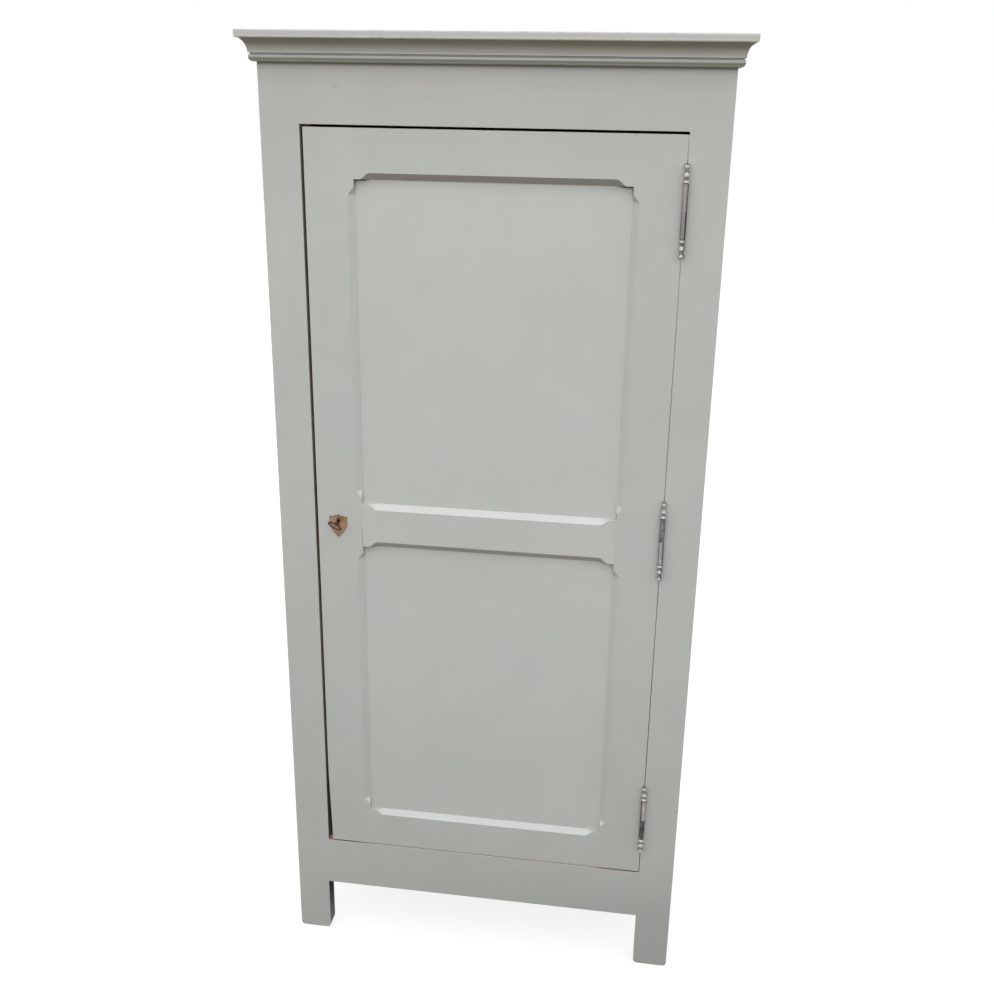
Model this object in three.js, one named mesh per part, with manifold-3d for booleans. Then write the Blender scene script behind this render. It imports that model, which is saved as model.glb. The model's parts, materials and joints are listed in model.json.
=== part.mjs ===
import * as THREE from 'three';
import { mergeVertices } from 'three/addons/utils/BufferGeometryUtils.js';
import Module from 'manifold-3d';

// A bonnetiere: a tall, narrow linen cabinet with one framed door, a moulded cornice and square feet.
// Millimetres, +Z up. The door faces -Y. The origin is on the floor, under the middle of the
// cabinet's whole outline, in which the bow of the key reaches furthest forward.

const wasm = await Module();
wasm.setup();

// Case
const caseWidth = 762;
const caseDepth = 430;
const footHeight = 116.6;
const bottomRailWidth = 104.1;
const openingHeight = 1387.5;
const friezeHeight = 94.3;
const frontStileWidth = 66;
const frameThickness = 32;
const lockFootSetback = 3;
const hingeFootSetback = 0;
const footCorner = 9;
const rearPostWidth = 45;
const rearPostDepth = 45;
const topBoardThickness = 18;

// Joinery of the case
const caseTenonLength = 38;
const caseTenonThickness = 10;
const sideTenonLength = 22;
const sideTenonThickness = 8;
const tenonShoulder = 13;
const mortiseRelief = 2;

// Sides and back
const sideRailThickness = 24;
const sidePanelThickness = 10;
const grooveDepth = 9;
const panelTongue = 8;
const panelPlay = 0.3;
const backRailThickness = 22;
const backRailWidth = 90;
const backBoardThickness = 12;
const backBoardCount = 4;
const backRebate = 12;
const boardTongueLength = 6;
const boardTongueThickness = 4;

// Floor, shelves and their cleats
const floorThickness = 18;
const floorLedge = 12;
const shelfCount = 3;
const shelfThickness = 20;
const shelfFrontSetback = 48;
const shelfPlay = 1;
const cleatWidth = 24;
const cleatHeight = 24;

// Cornice: heights run up from its lower edge, projections out from the face of the case
const corniceHeight = 47.5;
const corniceProjection = 27;
const corniceFilletHeight = 12.5;
const corniceFilletRound = 3.5;
const corniceTopRound = 2.5;
const corniceCoveBottom = 13.4;
const corniceCoveCrown = 37.2;
const corniceCoveProjection = 10.9;
const corniceCoveCentre = 30;
const corniceBeadProjection = 10.4;
const corniceBeadHeight = 10.9;
const corniceBeadRound = 6.8;
const corniceGrooveDepth = 2.4;
const mitreGap = 0.3;
const coveSteps = 10;
const roundSteps = 6;
const smallRoundSteps = 3;

// Door
const doorThickness = 30;
const lockGap = 5.6;
const hingeGap = 1.2;
const topGap = 4;
const bottomGap = 2;
const lockStileWidth = 83;
const hingeStileWidth = 81;
const doorTopRailWidth = 80.7;
const doorMidRailWidth = 83;
const doorBottomRailWidth = 80.8;
const planedHeight = 160;
const planedDepth = 4;
const panelRecess = 8.5;
const doorPanelThickness = 10;
const doorTenonLength = 45;
const lockTenonLength = 17;
const stopLathWidth = 30;
const stopLathThickness = 12;
const stopLathReach = 10;
const stopClearance = 0.4;

// Stopped chamfers round the door's panels
const chamferWidth = 10.5;
const chamferDepth = 7.6;
const chamferStopLength = 18;
const chamferSquareLand = 9.5;
const chamferStopSteps = 9;

// Turned hinges: each has a knuckle and blade on the door, a knuckle and blade on the case, and a pin
const upperHingeDrop = 120.7;
const middleHingeRise = 702.8;
const lowerHingeRise = 125.8;
const knuckleLength = 42.5;
const knuckleRadius = 4.4;
const knuckleClearance = 0.3;
const hingePinRadius = 2.3;
const hingeBoreRadius = 2.9;
const finialLength = 31.5;
const finialRadius = 5.3;
const bladeDepth = 26;
const bladeThickness = 2;
const bladeInset = 1.5;
const boreFloor = 3;

// Finial, from the knuckle to the tip: [share of the finial's radius, share of its length]
const finialShares = [
  [0.64, 0.02], [0.98, 0.07], [1, 0.16], [0.62, 0.22], [0.52, 0.3], [0.86, 0.36], [1, 0.45],
  [0.86, 0.54], [0.5, 0.61], [0.46, 0.7], [0.72, 0.77], [0.94, 0.85], [0.82, 0.93], [0.45, 0.99],
];

// Lock, key and keyhole. Depths run back from the door's front face
const keyBackset = 38;
const keyAboveMidRail = 5;
const lockWidth = 60;
const lockHeight = 58;
const lockDepth = 13;
const lockWall = 1.5;
const selvedgeThickness = 2;
const selvedgeHeight = 66;
const boltThickness = 6;
const boltHeight = 11.5;
const boltRise = 4.5;
const boltTravel = 12;
const boltPlay = 0.5;
const boltNotchWidth = 13;
const boltNotchDepth = 4.8;
const boltTailWidth = 4.5;
const guidePinRadius = 2;
const guidePinInset = 14;
const springThickness = 0.8;
const springWidth = 5;
const springInset = 4;
const springSteps = 12;
const strikeHeight = 60;
const strikeWidth = 12;
const strikeThickness = 2;
const strikeMortiseDepth = 16;
const keyShankRadius = 2.5;
const keyPilotRadius = 1.9;
const keyRunningGap = 0.5;
const keyBitReach = 8;
const keyBitThickness = 2.4;
const keyBitPlay = 0.8;
const keyBowHalfWidth = 12.5;
const keyBowHalfLength = 7.5;
const keyBowTube = 1.5;
const keyBowReach = 25;
const keyCollarRadius = 3.6;
const keyCollarLength = 2.4;
const keyRestAngle = THREE.MathUtils.degToRad(28);
const roundSides = 20;
const bowSides = 28;
const bowTubeSides = 8;

// Escutcheon: a shield pointed at the top and the foot
const shieldWidth = 33;
const shieldRise = 9.5;
const shieldPeak = 4.3;
const shieldDrop = 30.6;
const shieldThickness = 1;
const shieldDip = 0.8;
const shieldShoulderDrop = 6;
const shieldHipShare = 0.5;

// One overrun carries every cutter clear of the face it opens
const overrun = 5;

// Planes of the case
const caseHalf = caseWidth / 2;
const openingHalf = caseHalf - frontStileWidth;
const keyReach = keyBowReach + keyBowHalfLength + keyBowTube;
const frontReach = Math.max(corniceProjection, keyReach);
const frontY = frontReach - (caseDepth + frontReach) / 2;
const backY = frontY + caseDepth;
const frameBackY = frontY + frameThickness;
const postFrontY = backY - rearPostDepth;
const postInner = caseHalf - rearPostWidth;
const sideInner = caseHalf - sideRailThickness;
const sidePanelInner = caseHalf - (sideRailThickness - sidePanelThickness) / 2 - sidePanelThickness;
const backBoardFrontY = backY - backBoardThickness;

// Levels of the case
const openingBottom = footHeight + bottomRailWidth;
const openingTop = openingBottom + openingHeight;
const corniceBottom = openingTop + friezeHeight;
const totalHeight = corniceBottom + corniceHeight;
const frameTop = totalHeight - topBoardThickness;
const topRailZs = [openingTop, frameTop];
const bottomRailZs = [footHeight, openingBottom];

// Where the case's pieces meet: spans that a piece and its housing share
const caseTenonYs = centred(frontY + frameThickness / 2, caseTenonThickness);
const sidePanelSpan = span(sidePanelInner, sidePanelThickness);
const sideTenonSpan = centred((sideInner + caseHalf) / 2, sideTenonThickness);
const backRailYs = [backBoardFrontY - backRailThickness, backBoardFrontY];
const backTenonYs = centred((backRailYs[0] + backRailYs[1]) / 2, sideTenonThickness);
const backTopRailZs = [frameTop - backRailWidth, frameTop];
const backBoardZs = [footHeight, frameTop];
const floorYs = [frameBackY - floorLedge, backRailYs[0] + floorLedge];
const floorZs = [openingBottom - floorThickness, openingBottom];

// Planes and levels of the door
const doorLeft = -openingHalf + lockGap;
const doorRight = openingHalf - hingeGap;
const doorBottom = openingBottom + bottomGap;
const doorTop = openingTop - topGap;
const doorBackY = frontY + doorThickness;
const sightLeft = doorLeft + lockStileWidth;
const sightRight = doorRight - hingeStileWidth;
const railsWidth = doorTopRailWidth + doorMidRailWidth + doorBottomRailWidth;
const sightHeight = (doorTop - doorBottom - railsWidth) / 2;
const lowerSightZs = span(doorBottom + doorBottomRailWidth, sightHeight);
const midRailZs = span(lowerSightZs[1], doorMidRailWidth);
const upperSightZs = span(midRailZs[1], sightHeight);
const doorRails = [
  [[doorBottom, lowerSightZs[0]], true],
  [midRailZs, false],
  [[upperSightZs[1], doorTop], true],
];
const panelYs = span(frontY + panelRecess, doorPanelThickness);
const panelGrooveYs = span(frontY + panelRecess, doorPanelThickness + panelPlay);

// Lock: the key turns on the axis through the keyhole
const keyX = doorLeft + keyBackset;
const keyZ = (midRailZs[0] + midRailZs[1]) / 2 + keyAboveMidRail;
const lockFrontY = doorBackY - lockDepth;
const lockXs = [doorLeft + selvedgeThickness, doorLeft + lockWidth];
const lockZs = centred(keyZ, lockHeight);
const lockRoomXs = [lockXs[0], lockXs[1] - lockWall];
const lockRoomYs = [lockFrontY + lockWall, doorBackY - lockWall];
const lockRoomZs = [lockZs[0] + lockWall, lockZs[1] - lockWall];
const lockRoomMiddleY = (lockRoomYs[0] + lockRoomYs[1]) / 2;
const boltYs = centred(lockRoomMiddleY, boltThickness);
const boltZs = span(keyZ + boltRise, boltHeight);
const boltNotchX = keyX + boltTravel / 2;
const boltRoomYs = grown(boltYs, boltPlay);
const boltRoomZs = grown(boltZs, boltPlay);
const guidePinSeat = [doorLeft + guidePinInset, (boltZs[0] + boltZs[1]) / 2];
const selvedgeZs = centred(keyZ, selvedgeHeight);
const strikeYs = centred(lockRoomMiddleY, strikeWidth);
const strikeZs = centred((boltZs[0] + boltZs[1]) / 2, strikeHeight);

// The lath on the back of the lock-side stile, which the door closes on
const stopLathXs = span(stopLathReach - openingHalf - stopLathWidth, stopLathWidth);
const stopLathYs = span(doorBackY + stopClearance, stopLathThickness);
const stopLathZs = [openingBottom, openingTop];

// The hinges' axis stands in front of the gap, where the finials just clear the face of the case
const hingeAxis = [(doorRight + openingHalf) / 2, frontY - finialRadius - knuckleClearance];
const bladeRecessYs = [frontY - overrun, frontY + bladeDepth];
const hingeMiddles = [
  ['lower', openingBottom + lowerHingeRise],
  ['middle', openingBottom + middleHingeRise],
  ['upper', openingTop - upperHingeDrop],
];

const paint = material('#b3b4ac', 0.55, 0);
const bareWood = material('#a9714f', 0.75, 0);
const steel = material('#8f8b88', 0.3, 1);
const darkIron = material('#4d4341', 0.45, 1);
const wornBrass = material('#9a7350', 0.45, 0.8);

// Spans

function span(start, size) {
  return [start, start + size];
}

function centred(middle, size) {
  return [middle - size / 2, middle + size / 2];
}

function inset([low, high], margin) {
  return [low + margin, high - margin];
}

function grown([low, high], margin) {
  return [low - margin, high + margin];
}

// Distances from the middle plane, laid out on the left (-1) or the right (+1)
function onSide(side, near, far) {
  return side > 0 ? [near, far] : [-far, -near];
}

// Solids

function solidOf(geometry) {
  geometry.deleteAttribute('normal');
  geometry.deleteAttribute('uv');
  const merged = mergeVertices(geometry);
  const triangles = [];
  const index = merged.index.array;
  for (let i = 0; i < index.length; i += 3) {
    const [a, b, c] = index.slice(i, i + 3);
    if (a !== b && b !== c && c !== a) {
      triangles.push(a, b, c);
    }
  }
  return new wasm.Manifold(new wasm.Mesh({
    numProp: 3,
    vertProperties: merged.attributes.position.array,
    triVerts: new Uint32Array(triangles),
  }));
}

function block(xs, ys, zs) {
  const geometry = new THREE.BoxGeometry(1, 1, 1);
  const corners = geometry.attributes.position;
  for (let i = 0; i < corners.count; i += 1) {
    corners.setXYZ(
      i,
      xs[corners.getX(i) < 0 ? 0 : 1],
      ys[corners.getY(i) < 0 ? 0 : 1],
      zs[corners.getZ(i) < 0 ? 0 : 1],
    );
  }
  return solidOf(geometry);
}

// An outline drawn as (Y, Z), (X, Z) or (X, Y) and run along the third axis between two ends
function extruded(outline, axis, ends) {
  const settings = { depth: 1, bevelEnabled: false, curveSegments: roundSteps };
  const geometry = new THREE.ExtrudeGeometry(outline, settings);
  const points = geometry.attributes.position;
  const length = ends[1] - ends[0];
  for (let i = 0; i < points.count; i += 1) {
    const [u, v, w] = [points.getX(i), points.getY(i), points.getZ(i)];
    if (axis === 'x') {
      points.setXYZ(i, ends[0] + w * length, u, v);
    } else if (axis === 'y') {
      points.setXYZ(i, u, ends[1] - w * length, v);
    } else {
      points.setXYZ(i, u, v, ends[0] + w * length);
    }
  }
  return solidOf(geometry);
}

function polygon(points) {
  return new THREE.Shape(points.map(([u, v]) => new THREE.Vector2(u, v)));
}

// A round rod along an axis
function rod(axis, [u, v], radius, ends) {
  const corners = [];
  for (let i = 0; i < roundSides; i += 1) {
    const angle = (Math.PI * 2 * i) / roundSides;
    corners.push([u + radius * Math.cos(angle), v + radius * Math.sin(angle)]);
  }
  return extruded(polygon(corners), axis, ends);
}

// A form turned round the local Y axis: profile points are [radius, distance along the axis]
function turned(profile, sides) {
  const points = profile.map(([radius, along]) => new THREE.Vector2(radius, along));
  return new THREE.LatheGeometry(points, sides);
}

function joined(first, ...others) {
  return others.reduce((whole, other) => whole.add(other), first);
}

function cut(whole, ...cutters) {
  return cutters.reduce((rest, cutter) => rest.subtract(cutter), whole);
}

function material(color, roughness, metalness) {
  return new THREE.MeshStandardMaterial({ color, roughness, metalness, flatShading: true });
}

function piece(name, solid, finish) {
  const { vertProperties, triVerts } = solid.getMesh();
  const geometry = new THREE.BufferGeometry();
  geometry.setAttribute('position', new THREE.BufferAttribute(new Float32Array(vertProperties), 3));
  geometry.setIndex(new THREE.BufferAttribute(new Uint32Array(triVerts), 1));
  geometry.computeVertexNormals();
  const mesh = new THREE.Mesh(geometry, finish);
  mesh.name = name;
  return mesh;
}

// Case: two front stiles and two rear posts run down as feet, with rails tenoned between them

// The front face of a stile or post: it may step in below the rail, and its foot has eased corners
function footedOutline(side, inner, footInner) {
  const outline = new THREE.Shape();
  outline.moveTo(side * caseHalf, frameTop);
  outline.lineTo(side * inner, frameTop);
  if (footInner !== inner) {
    outline.lineTo(side * inner, footHeight);
    outline.lineTo(side * footInner, footHeight);
  }
  outline.lineTo(side * footInner, footCorner);
  outline.quadraticCurveTo(side * footInner, 0, side * (footInner + footCorner), 0);
  outline.lineTo(side * (caseHalf - footCorner), 0);
  outline.quadraticCurveTo(side * caseHalf, 0, side * caseHalf, footCorner);
  return outline;
}

// What the side rails and the side panel need in the stile or post that they meet
function sideHousings(side, tenonYs, grooveYs) {
  const panelXs = onSide(side, ...grown(sidePanelSpan, panelPlay / 2));
  const panelZs = grown([openingBottom, openingTop], grooveDepth);
  return [
    block(onSide(side, ...sideTenonSpan), tenonYs, inset(topRailZs, tenonShoulder)),
    block(onSide(side, ...sideTenonSpan), tenonYs, inset(bottomRailZs, tenonShoulder)),
    block(panelXs, grooveYs, panelZs),
  ];
}

function frontStile(side, footSetback) {
  const outline = footedOutline(side, openingHalf, openingHalf + footSetback);
  const mortiseXs = onSide(side, openingHalf - overrun, openingHalf + caseTenonLength + mortiseRelief);
  return cut(
    extruded(outline, 'y', [frontY, frameBackY]),
    block(mortiseXs, caseTenonYs, inset(topRailZs, tenonShoulder)),
    block(mortiseXs, caseTenonYs, inset(bottomRailZs, tenonShoulder)),
    ...sideHousings(
      side,
      [frameBackY - sideTenonLength - mortiseRelief, frameBackY + overrun],
      [frameBackY - grooveDepth, frameBackY + overrun],
    ),
  );
}

// The lock's strike plate and the lath that the door closes on are let into the left stile
function lockSideStile() {
  const inner = -openingHalf;
  return cut(
    frontStile(-1, lockFootSetback),
    block([inner - strikeThickness, inner + overrun], strikeYs, strikeZs),
    block([inner - strikeMortiseDepth, inner], boltRoomYs, boltRoomZs),
    block([stopLathXs[0], inner + overrun], [stopLathYs[0], frameBackY + overrun], stopLathZs),
  );
}

function hingeSideStile() {
  const recesses = hingeMiddles.map(([, middle]) => (
    block([openingHalf - overrun, openingHalf + bladeThickness], bladeRecessYs, lowerBladeZs(middle))
  ));
  return cut(frontStile(1, hingeFootSetback), ...recesses);
}

function rearPost(side) {
  const tenonXs = onSide(side, postInner - overrun, postInner + sideTenonLength + mortiseRelief);
  const rebateXs = onSide(side, postInner - overrun, postInner + backRebate);
  return cut(
    extruded(footedOutline(side, postInner, postInner), 'y', [postFrontY, backY]),
    block(tenonXs, backTenonYs, inset(backTopRailZs, tenonShoulder)),
    block(tenonXs, backTenonYs, inset(bottomRailZs, tenonShoulder)),
    block(rebateXs, [backBoardFrontY, backY + overrun], backBoardZs),
    ...sideHousings(
      side,
      [postFrontY - overrun, postFrontY + sideTenonLength + mortiseRelief],
      [postFrontY - overrun, postFrontY + grooveDepth],
    ),
  );
}

function frontRail(zs) {
  return joined(
    block([-openingHalf, openingHalf], [frontY, frameBackY], zs),
    block(
      [-openingHalf - caseTenonLength, openingHalf + caseTenonLength],
      caseTenonYs,
      inset(zs, tenonShoulder),
    ),
  );
}

function backRail(zs) {
  return joined(
    block([-postInner, postInner], backRailYs, zs),
    block(
      [-postInner - sideTenonLength, postInner + sideTenonLength],
      backTenonYs,
      inset(zs, tenonShoulder),
    ),
  );
}

// The floor board drops into a ledge along the top of the front and back bottom rails
function frontBottomRail() {
  const ledgeXs = [-openingHalf, openingHalf];
  return cut(
    frontRail(bottomRailZs),
    block(ledgeXs, [floorYs[0], frameBackY + overrun], [floorZs[0], floorZs[1] + overrun]),
  );
}

function backBottomRail() {
  const ledgeXs = [-postInner, postInner];
  return cut(
    backRail(bottomRailZs),
    block(ledgeXs, [backRailYs[0] - overrun, floorYs[1]], [floorZs[0], floorZs[1] + overrun]),
  );
}

function caseFrame() {
  return [
    piece('front_stile_left', lockSideStile(), paint),
    piece('front_stile_right', hingeSideStile(), paint),
    piece('top_rail', frontRail(topRailZs), paint),
    piece('bottom_rail', frontBottomRail(), paint),
    piece('rear_post_left', rearPost(-1), paint),
    piece('rear_post_right', rearPost(1), paint),
    piece('back_top_rail', backRail(backTopRailZs), bareWood),
    piece('back_bottom_rail', backBottomRail(), bareWood),
    piece('top_board', block([-caseHalf, caseHalf], [frontY, backY], [frameTop, totalHeight]), paint),
  ];
}

// Sides: a panel held in grooves between two rails, the front stile and the rear post

function sideRail(side, zs, grooveZs) {
  const tenonYs = [frameBackY - sideTenonLength, postFrontY + sideTenonLength];
  const panelXs = onSide(side, ...grown(sidePanelSpan, panelPlay / 2));
  return cut(
    joined(
      block(onSide(side, sideInner, caseHalf), [frameBackY, postFrontY], zs),
      block(onSide(side, ...sideTenonSpan), tenonYs, inset(zs, tenonShoulder)),
    ),
    block(panelXs, [frameBackY, postFrontY], grooveZs),
  );
}

function sidePanel(side) {
  return block(
    onSide(side, ...sidePanelSpan),
    grown([frameBackY, postFrontY], panelTongue),
    grown([openingBottom, openingTop], panelTongue),
  );
}

function sideWalls() {
  const topGrooveZs = [openingTop - overrun, openingTop + grooveDepth];
  const bottomGrooveZs = [openingBottom - grooveDepth, openingBottom + overrun];
  return [['left', -1], ['right', 1]].flatMap(([place, side]) => [
    piece(`side_top_rail_${place}`, sideRail(side, topRailZs, topGrooveZs), paint),
    piece(`side_bottom_rail_${place}`, sideRail(side, bottomRailZs, bottomGrooveZs), paint),
    piece(`side_panel_${place}`, sidePanel(side), paint),
  ]);
}

// Back: upright boards, tongued and grooved together, in the rebates of the rear posts

function backWall() {
  const reach = postInner + backRebate;
  const width = (reach * 2) / backBoardCount;
  const middleY = (backBoardFrontY + backY) / 2;
  const tongueYs = centred(middleY, boardTongueThickness);
  const grooveYs = centred(middleY, boardTongueThickness + panelPlay);
  return Array.from({ length: backBoardCount }, (_, i) => {
    const xs = span(i * width - reach, width);
    let board = block(xs, [backBoardFrontY, backY], backBoardZs);
    if (i > 0) {
      const grooveXs = [xs[0] - overrun, xs[0] + boardTongueLength + panelPlay];
      board = cut(board, block(grooveXs, grooveYs, grown(backBoardZs, overrun)));
    }
    if (i < backBoardCount - 1) {
      const tongueXs = [xs[1] - boardTongueLength, xs[1] + boardTongueLength];
      board = joined(board, block(tongueXs, tongueYs, backBoardZs));
    }
    return piece(`back_board_${i + 1}`, board, bareWood);
  });
}

// Cornice: one moulding on the front and both sides, mitred at the front corners

// Points on a quarter of an ellipse, or part of one, between two angles
function arc([out, up], [reachOut, reachUp], [start, end], steps) {
  return Array.from({ length: steps + 1 }, (_, i) => {
    const angle = start + (end - start) * (i / steps);
    return [out + reachOut * Math.cos(angle), up + reachUp * Math.sin(angle)];
  });
}

// The section as [projection, height]: bead, groove, cove and a fillet with eased arrises
function corniceSection() {
  const quarter = Math.PI / 2;
  const grooveWall = corniceBeadProjection - corniceGrooveDepth;
  const filletBottom = corniceHeight - corniceFilletHeight;
  const coveRise = corniceCoveCrown - corniceCoveBottom;
  const coveEnd = Math.asin((filletBottom - corniceCoveBottom) / coveRise);
  return [
    [0, 0],
    ...arc(
      [corniceBeadProjection - corniceBeadRound, corniceBeadRound],
      [corniceBeadRound, corniceBeadRound],
      [-quarter, 0],
      roundSteps,
    ),
    ...arc(
      [grooveWall, corniceBeadHeight - corniceGrooveDepth],
      [corniceGrooveDepth, corniceGrooveDepth],
      [0, quarter],
      smallRoundSteps,
    ),
    [grooveWall, corniceCoveBottom],
    ...arc(
      [corniceCoveCentre, corniceCoveBottom],
      [corniceCoveProjection - corniceCoveCentre, coveRise],
      [0, coveEnd],
      coveSteps,
    ),
    ...arc(
      [corniceProjection - corniceFilletRound, filletBottom + corniceFilletRound],
      [corniceFilletRound, corniceFilletRound],
      [-quarter, 0],
      smallRoundSteps,
    ),
    ...arc(
      [corniceProjection - corniceTopRound, corniceHeight - corniceTopRound],
      [corniceTopRound, corniceTopRound],
      [0, quarter],
      smallRoundSteps,
    ),
    [0, corniceHeight],
  ];
}

// In plan: everything in front of the two mitre lines, which leave a hairline gap
function corniceFront() {
  const reach = corniceProjection + overrun;
  const corner = caseHalf - mitreGap * Math.SQRT2;
  const outline = polygon(corniceSection().map(([out, up]) => [frontY - out, corniceBottom + up]));
  const plan = polygon([
    [overrun - corner, frontY + overrun],
    [-corner - reach, frontY - reach],
    [corner + reach, frontY - reach],
    [corner - overrun, frontY + overrun],
  ]);
  const moulding = extruded(outline, 'x', [-corner - reach, corner + reach]);
  return moulding.intersect(extruded(plan, 'z', grown([corniceBottom, totalHeight], overrun)));
}

function corniceSide(side) {
  const reach = corniceProjection + overrun;
  const outline = polygon(
    corniceSection().map(([out, up]) => [side * (caseHalf + out), corniceBottom + up]),
  );
  const plan = polygon([
    [side * (caseHalf - overrun), frontY + overrun],
    [side * (caseHalf + reach), frontY - reach],
    [side * (caseHalf + reach), backY + overrun],
    [side * (caseHalf - overrun), backY + overrun],
  ]);
  const moulding = extruded(outline, 'y', [frontY - reach, backY]);
  return moulding.intersect(extruded(plan, 'z', grown([corniceBottom, totalHeight], overrun)));
}

function cornice() {
  return [
    piece('cornice_front', corniceFront(), paint),
    piece('cornice_left', corniceSide(-1), paint),
    piece('cornice_right', corniceSide(1), paint),
  ];
}

// Floor and shelves: notched round the posts, the shelves loose on cleats nailed between them

function floorBoard() {
  const notchZs = grown(floorZs, overrun);
  const notches = [-1, 1].flatMap((side) => [
    block(onSide(side, openingHalf, caseHalf), [floorYs[0] - overrun, frameBackY], notchZs),
    block(onSide(side, postInner, caseHalf), [postFrontY, floorYs[1] + overrun], notchZs),
  ]);
  return cut(block([-sideInner, sideInner], floorYs, floorZs), ...notches);
}

function shelf(zs) {
  const ys = [frontY + shelfFrontSetback, backBoardFrontY - shelfPlay];
  const notches = [-1, 1].map((side) => block(
    onSide(side, postInner - shelfPlay, caseHalf),
    [postFrontY - shelfPlay, backY],
    grown(zs, overrun),
  ));
  return cut(block([shelfPlay - sidePanelInner, sidePanelInner - shelfPlay], ys, zs), ...notches);
}

function cleat(side, topZ) {
  return block(
    onSide(side, sidePanelInner - cleatWidth, sidePanelInner),
    [frameBackY, postFrontY],
    [topZ - cleatHeight, topZ],
  );
}

function shelving() {
  const pitch = (frameTop - openingBottom + shelfThickness) / (shelfCount + 1);
  const shelves = Array.from({ length: shelfCount }, (_, i) => {
    const zs = span(openingBottom + pitch * (i + 1) - shelfThickness, shelfThickness);
    return [
      piece(`shelf_${i + 1}`, shelf(zs), bareWood),
      piece(`cleat_left_${i + 1}`, cleat(-1, zs[0]), bareWood),
      piece(`cleat_right_${i + 1}`, cleat(1, zs[0]), bareWood),
    ];
  });
  return [piece('floor_board', floorBoard(), bareWood), ...shelves.flat()];
}

// Door: two stiles and three rails, grooved for two flat panels and chamfered round each panel

// The wood taken off one arris of the door's face: a flat chamfer that rises to the arris at each
// end in a double curve. It is drawn square to the chamfer, along the arris, then turned in place
function stoppedChamfer(middle, along, inward, length) {
  const slope = Math.hypot(chamferWidth, chamferDepth);
  const arrisHeight = (chamferWidth * chamferDepth) / slope;
  const end = length / 2;
  const curve = [];
  for (let i = 0; i <= chamferStopSteps; i += 1) {
    const share = i / chamferStopSteps;
    curve.push([
      end - chamferStopLength * (1 - share),
      (arrisHeight * (1 - Math.cos(Math.PI * share))) / 2,
    ]);
  }
  const mirrored = curve.map(([run, height]) => [-run, height]).reverse();
  const top = arrisHeight + overrun;
  const outline = polygon([...curve, [end, top], [-end, top], ...mirrored]);
  const geometry = new THREE.ExtrudeGeometry(outline, { depth: 1, bevelEnabled: false });
  const cutterWidth = slope + 2 * overrun;
  geometry.scale(1, 1, cutterWidth);
  geometry.translate(0, 0, -cutterWidth / 2);
  const back = new THREE.Vector3(0, 1, 0);
  const outward = new THREE.Vector3()
    .addScaledVector(inward, -chamferDepth / slope)
    .addScaledVector(back, -chamferWidth / slope);
  const across = new THREE.Vector3().crossVectors(along, outward);
  const origin = middle.clone()
    .addScaledVector(inward, chamferWidth / 2)
    .addScaledVector(back, chamferDepth / 2);
  const place = new THREE.Matrix4().makeBasis(along, outward, across).setPosition(origin);
  geometry.applyMatrix4(place);
  return solidOf(geometry);
}

function stileChamfers(x, inwardX) {
  const up = new THREE.Vector3(0, 0, 1);
  const inward = new THREE.Vector3(inwardX, 0, 0);
  return [lowerSightZs, upperSightZs].map((zs) => {
    const middle = new THREE.Vector3(x, frontY, (zs[0] + zs[1]) / 2);
    return stoppedChamfer(middle, up, inward, sightHeight - 2 * chamferSquareLand);
  });
}

function railChamfer(z, inwardZ) {
  const right = new THREE.Vector3(1, 0, 0);
  const inward = new THREE.Vector3(0, 0, inwardZ);
  const middle = new THREE.Vector3((sightLeft + sightRight) / 2, frontY, z);
  return stoppedChamfer(middle, right, inward, sightRight - sightLeft - 2 * chamferSquareLand);
}

// Sockets for the rails' tenons and grooves for the panels, in the edge of a stile
function stileHousings(edgeX, inwardX, midTenonLength) {
  const reachIn = (depth) => [edgeX - inwardX * overrun, edgeX + inwardX * depth].sort((a, b) => a - b);
  const mortises = doorRails.map(([zs, full]) => block(
    reachIn((full ? doorTenonLength : midTenonLength) + mortiseRelief),
    panelYs,
    inset(zs, tenonShoulder),
  ));
  const grooves = [lowerSightZs, upperSightZs].map((zs) => (
    block(reachIn(grooveDepth), panelGrooveYs, grown(zs, grooveDepth))
  ));
  return [...mortises, ...grooves];
}

function keyhole(ys) {
  return joined(
    rod('y', [keyX, keyZ], keyShankRadius + keyRunningGap, ys),
    block(
      centred(keyX, keyBitThickness + 2 * keyRunningGap),
      ys,
      [keyZ - keyBitReach - keyBitPlay, keyZ],
    ),
  );
}

// The lock stile is planed narrower towards its foot, and the lock is let into its back
function lockStile() {
  const outline = polygon([
    [doorLeft, doorTop],
    [doorLeft, doorBottom + planedHeight],
    [doorLeft + planedDepth, doorBottom],
    [sightLeft, doorBottom],
    [sightLeft, doorTop],
  ]);
  const pocketYs = [lockFrontY, doorBackY + overrun];
  return cut(
    extruded(outline, 'y', [frontY, doorBackY]),
    ...stileHousings(sightLeft, -1, lockTenonLength),
    block([doorLeft - overrun, lockXs[1]], pocketYs, lockZs),
    block([doorLeft - overrun, lockXs[0]], pocketYs, selvedgeZs),
    keyhole([frontY - overrun, lockFrontY + overrun]),
    ...stileChamfers(sightLeft, -1),
  );
}

function hingeStile() {
  const recesses = hingeMiddles.map(([, middle]) => (
    block([doorRight - bladeThickness, doorRight + overrun], bladeRecessYs, upperBladeZs(middle))
  ));
  return cut(
    block([sightRight, doorRight], [frontY, doorBackY], [doorBottom, doorTop]),
    ...stileHousings(sightRight, 1, doorTenonLength),
    ...recesses,
    ...stileChamfers(sightRight, 1),
  );
}

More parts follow.
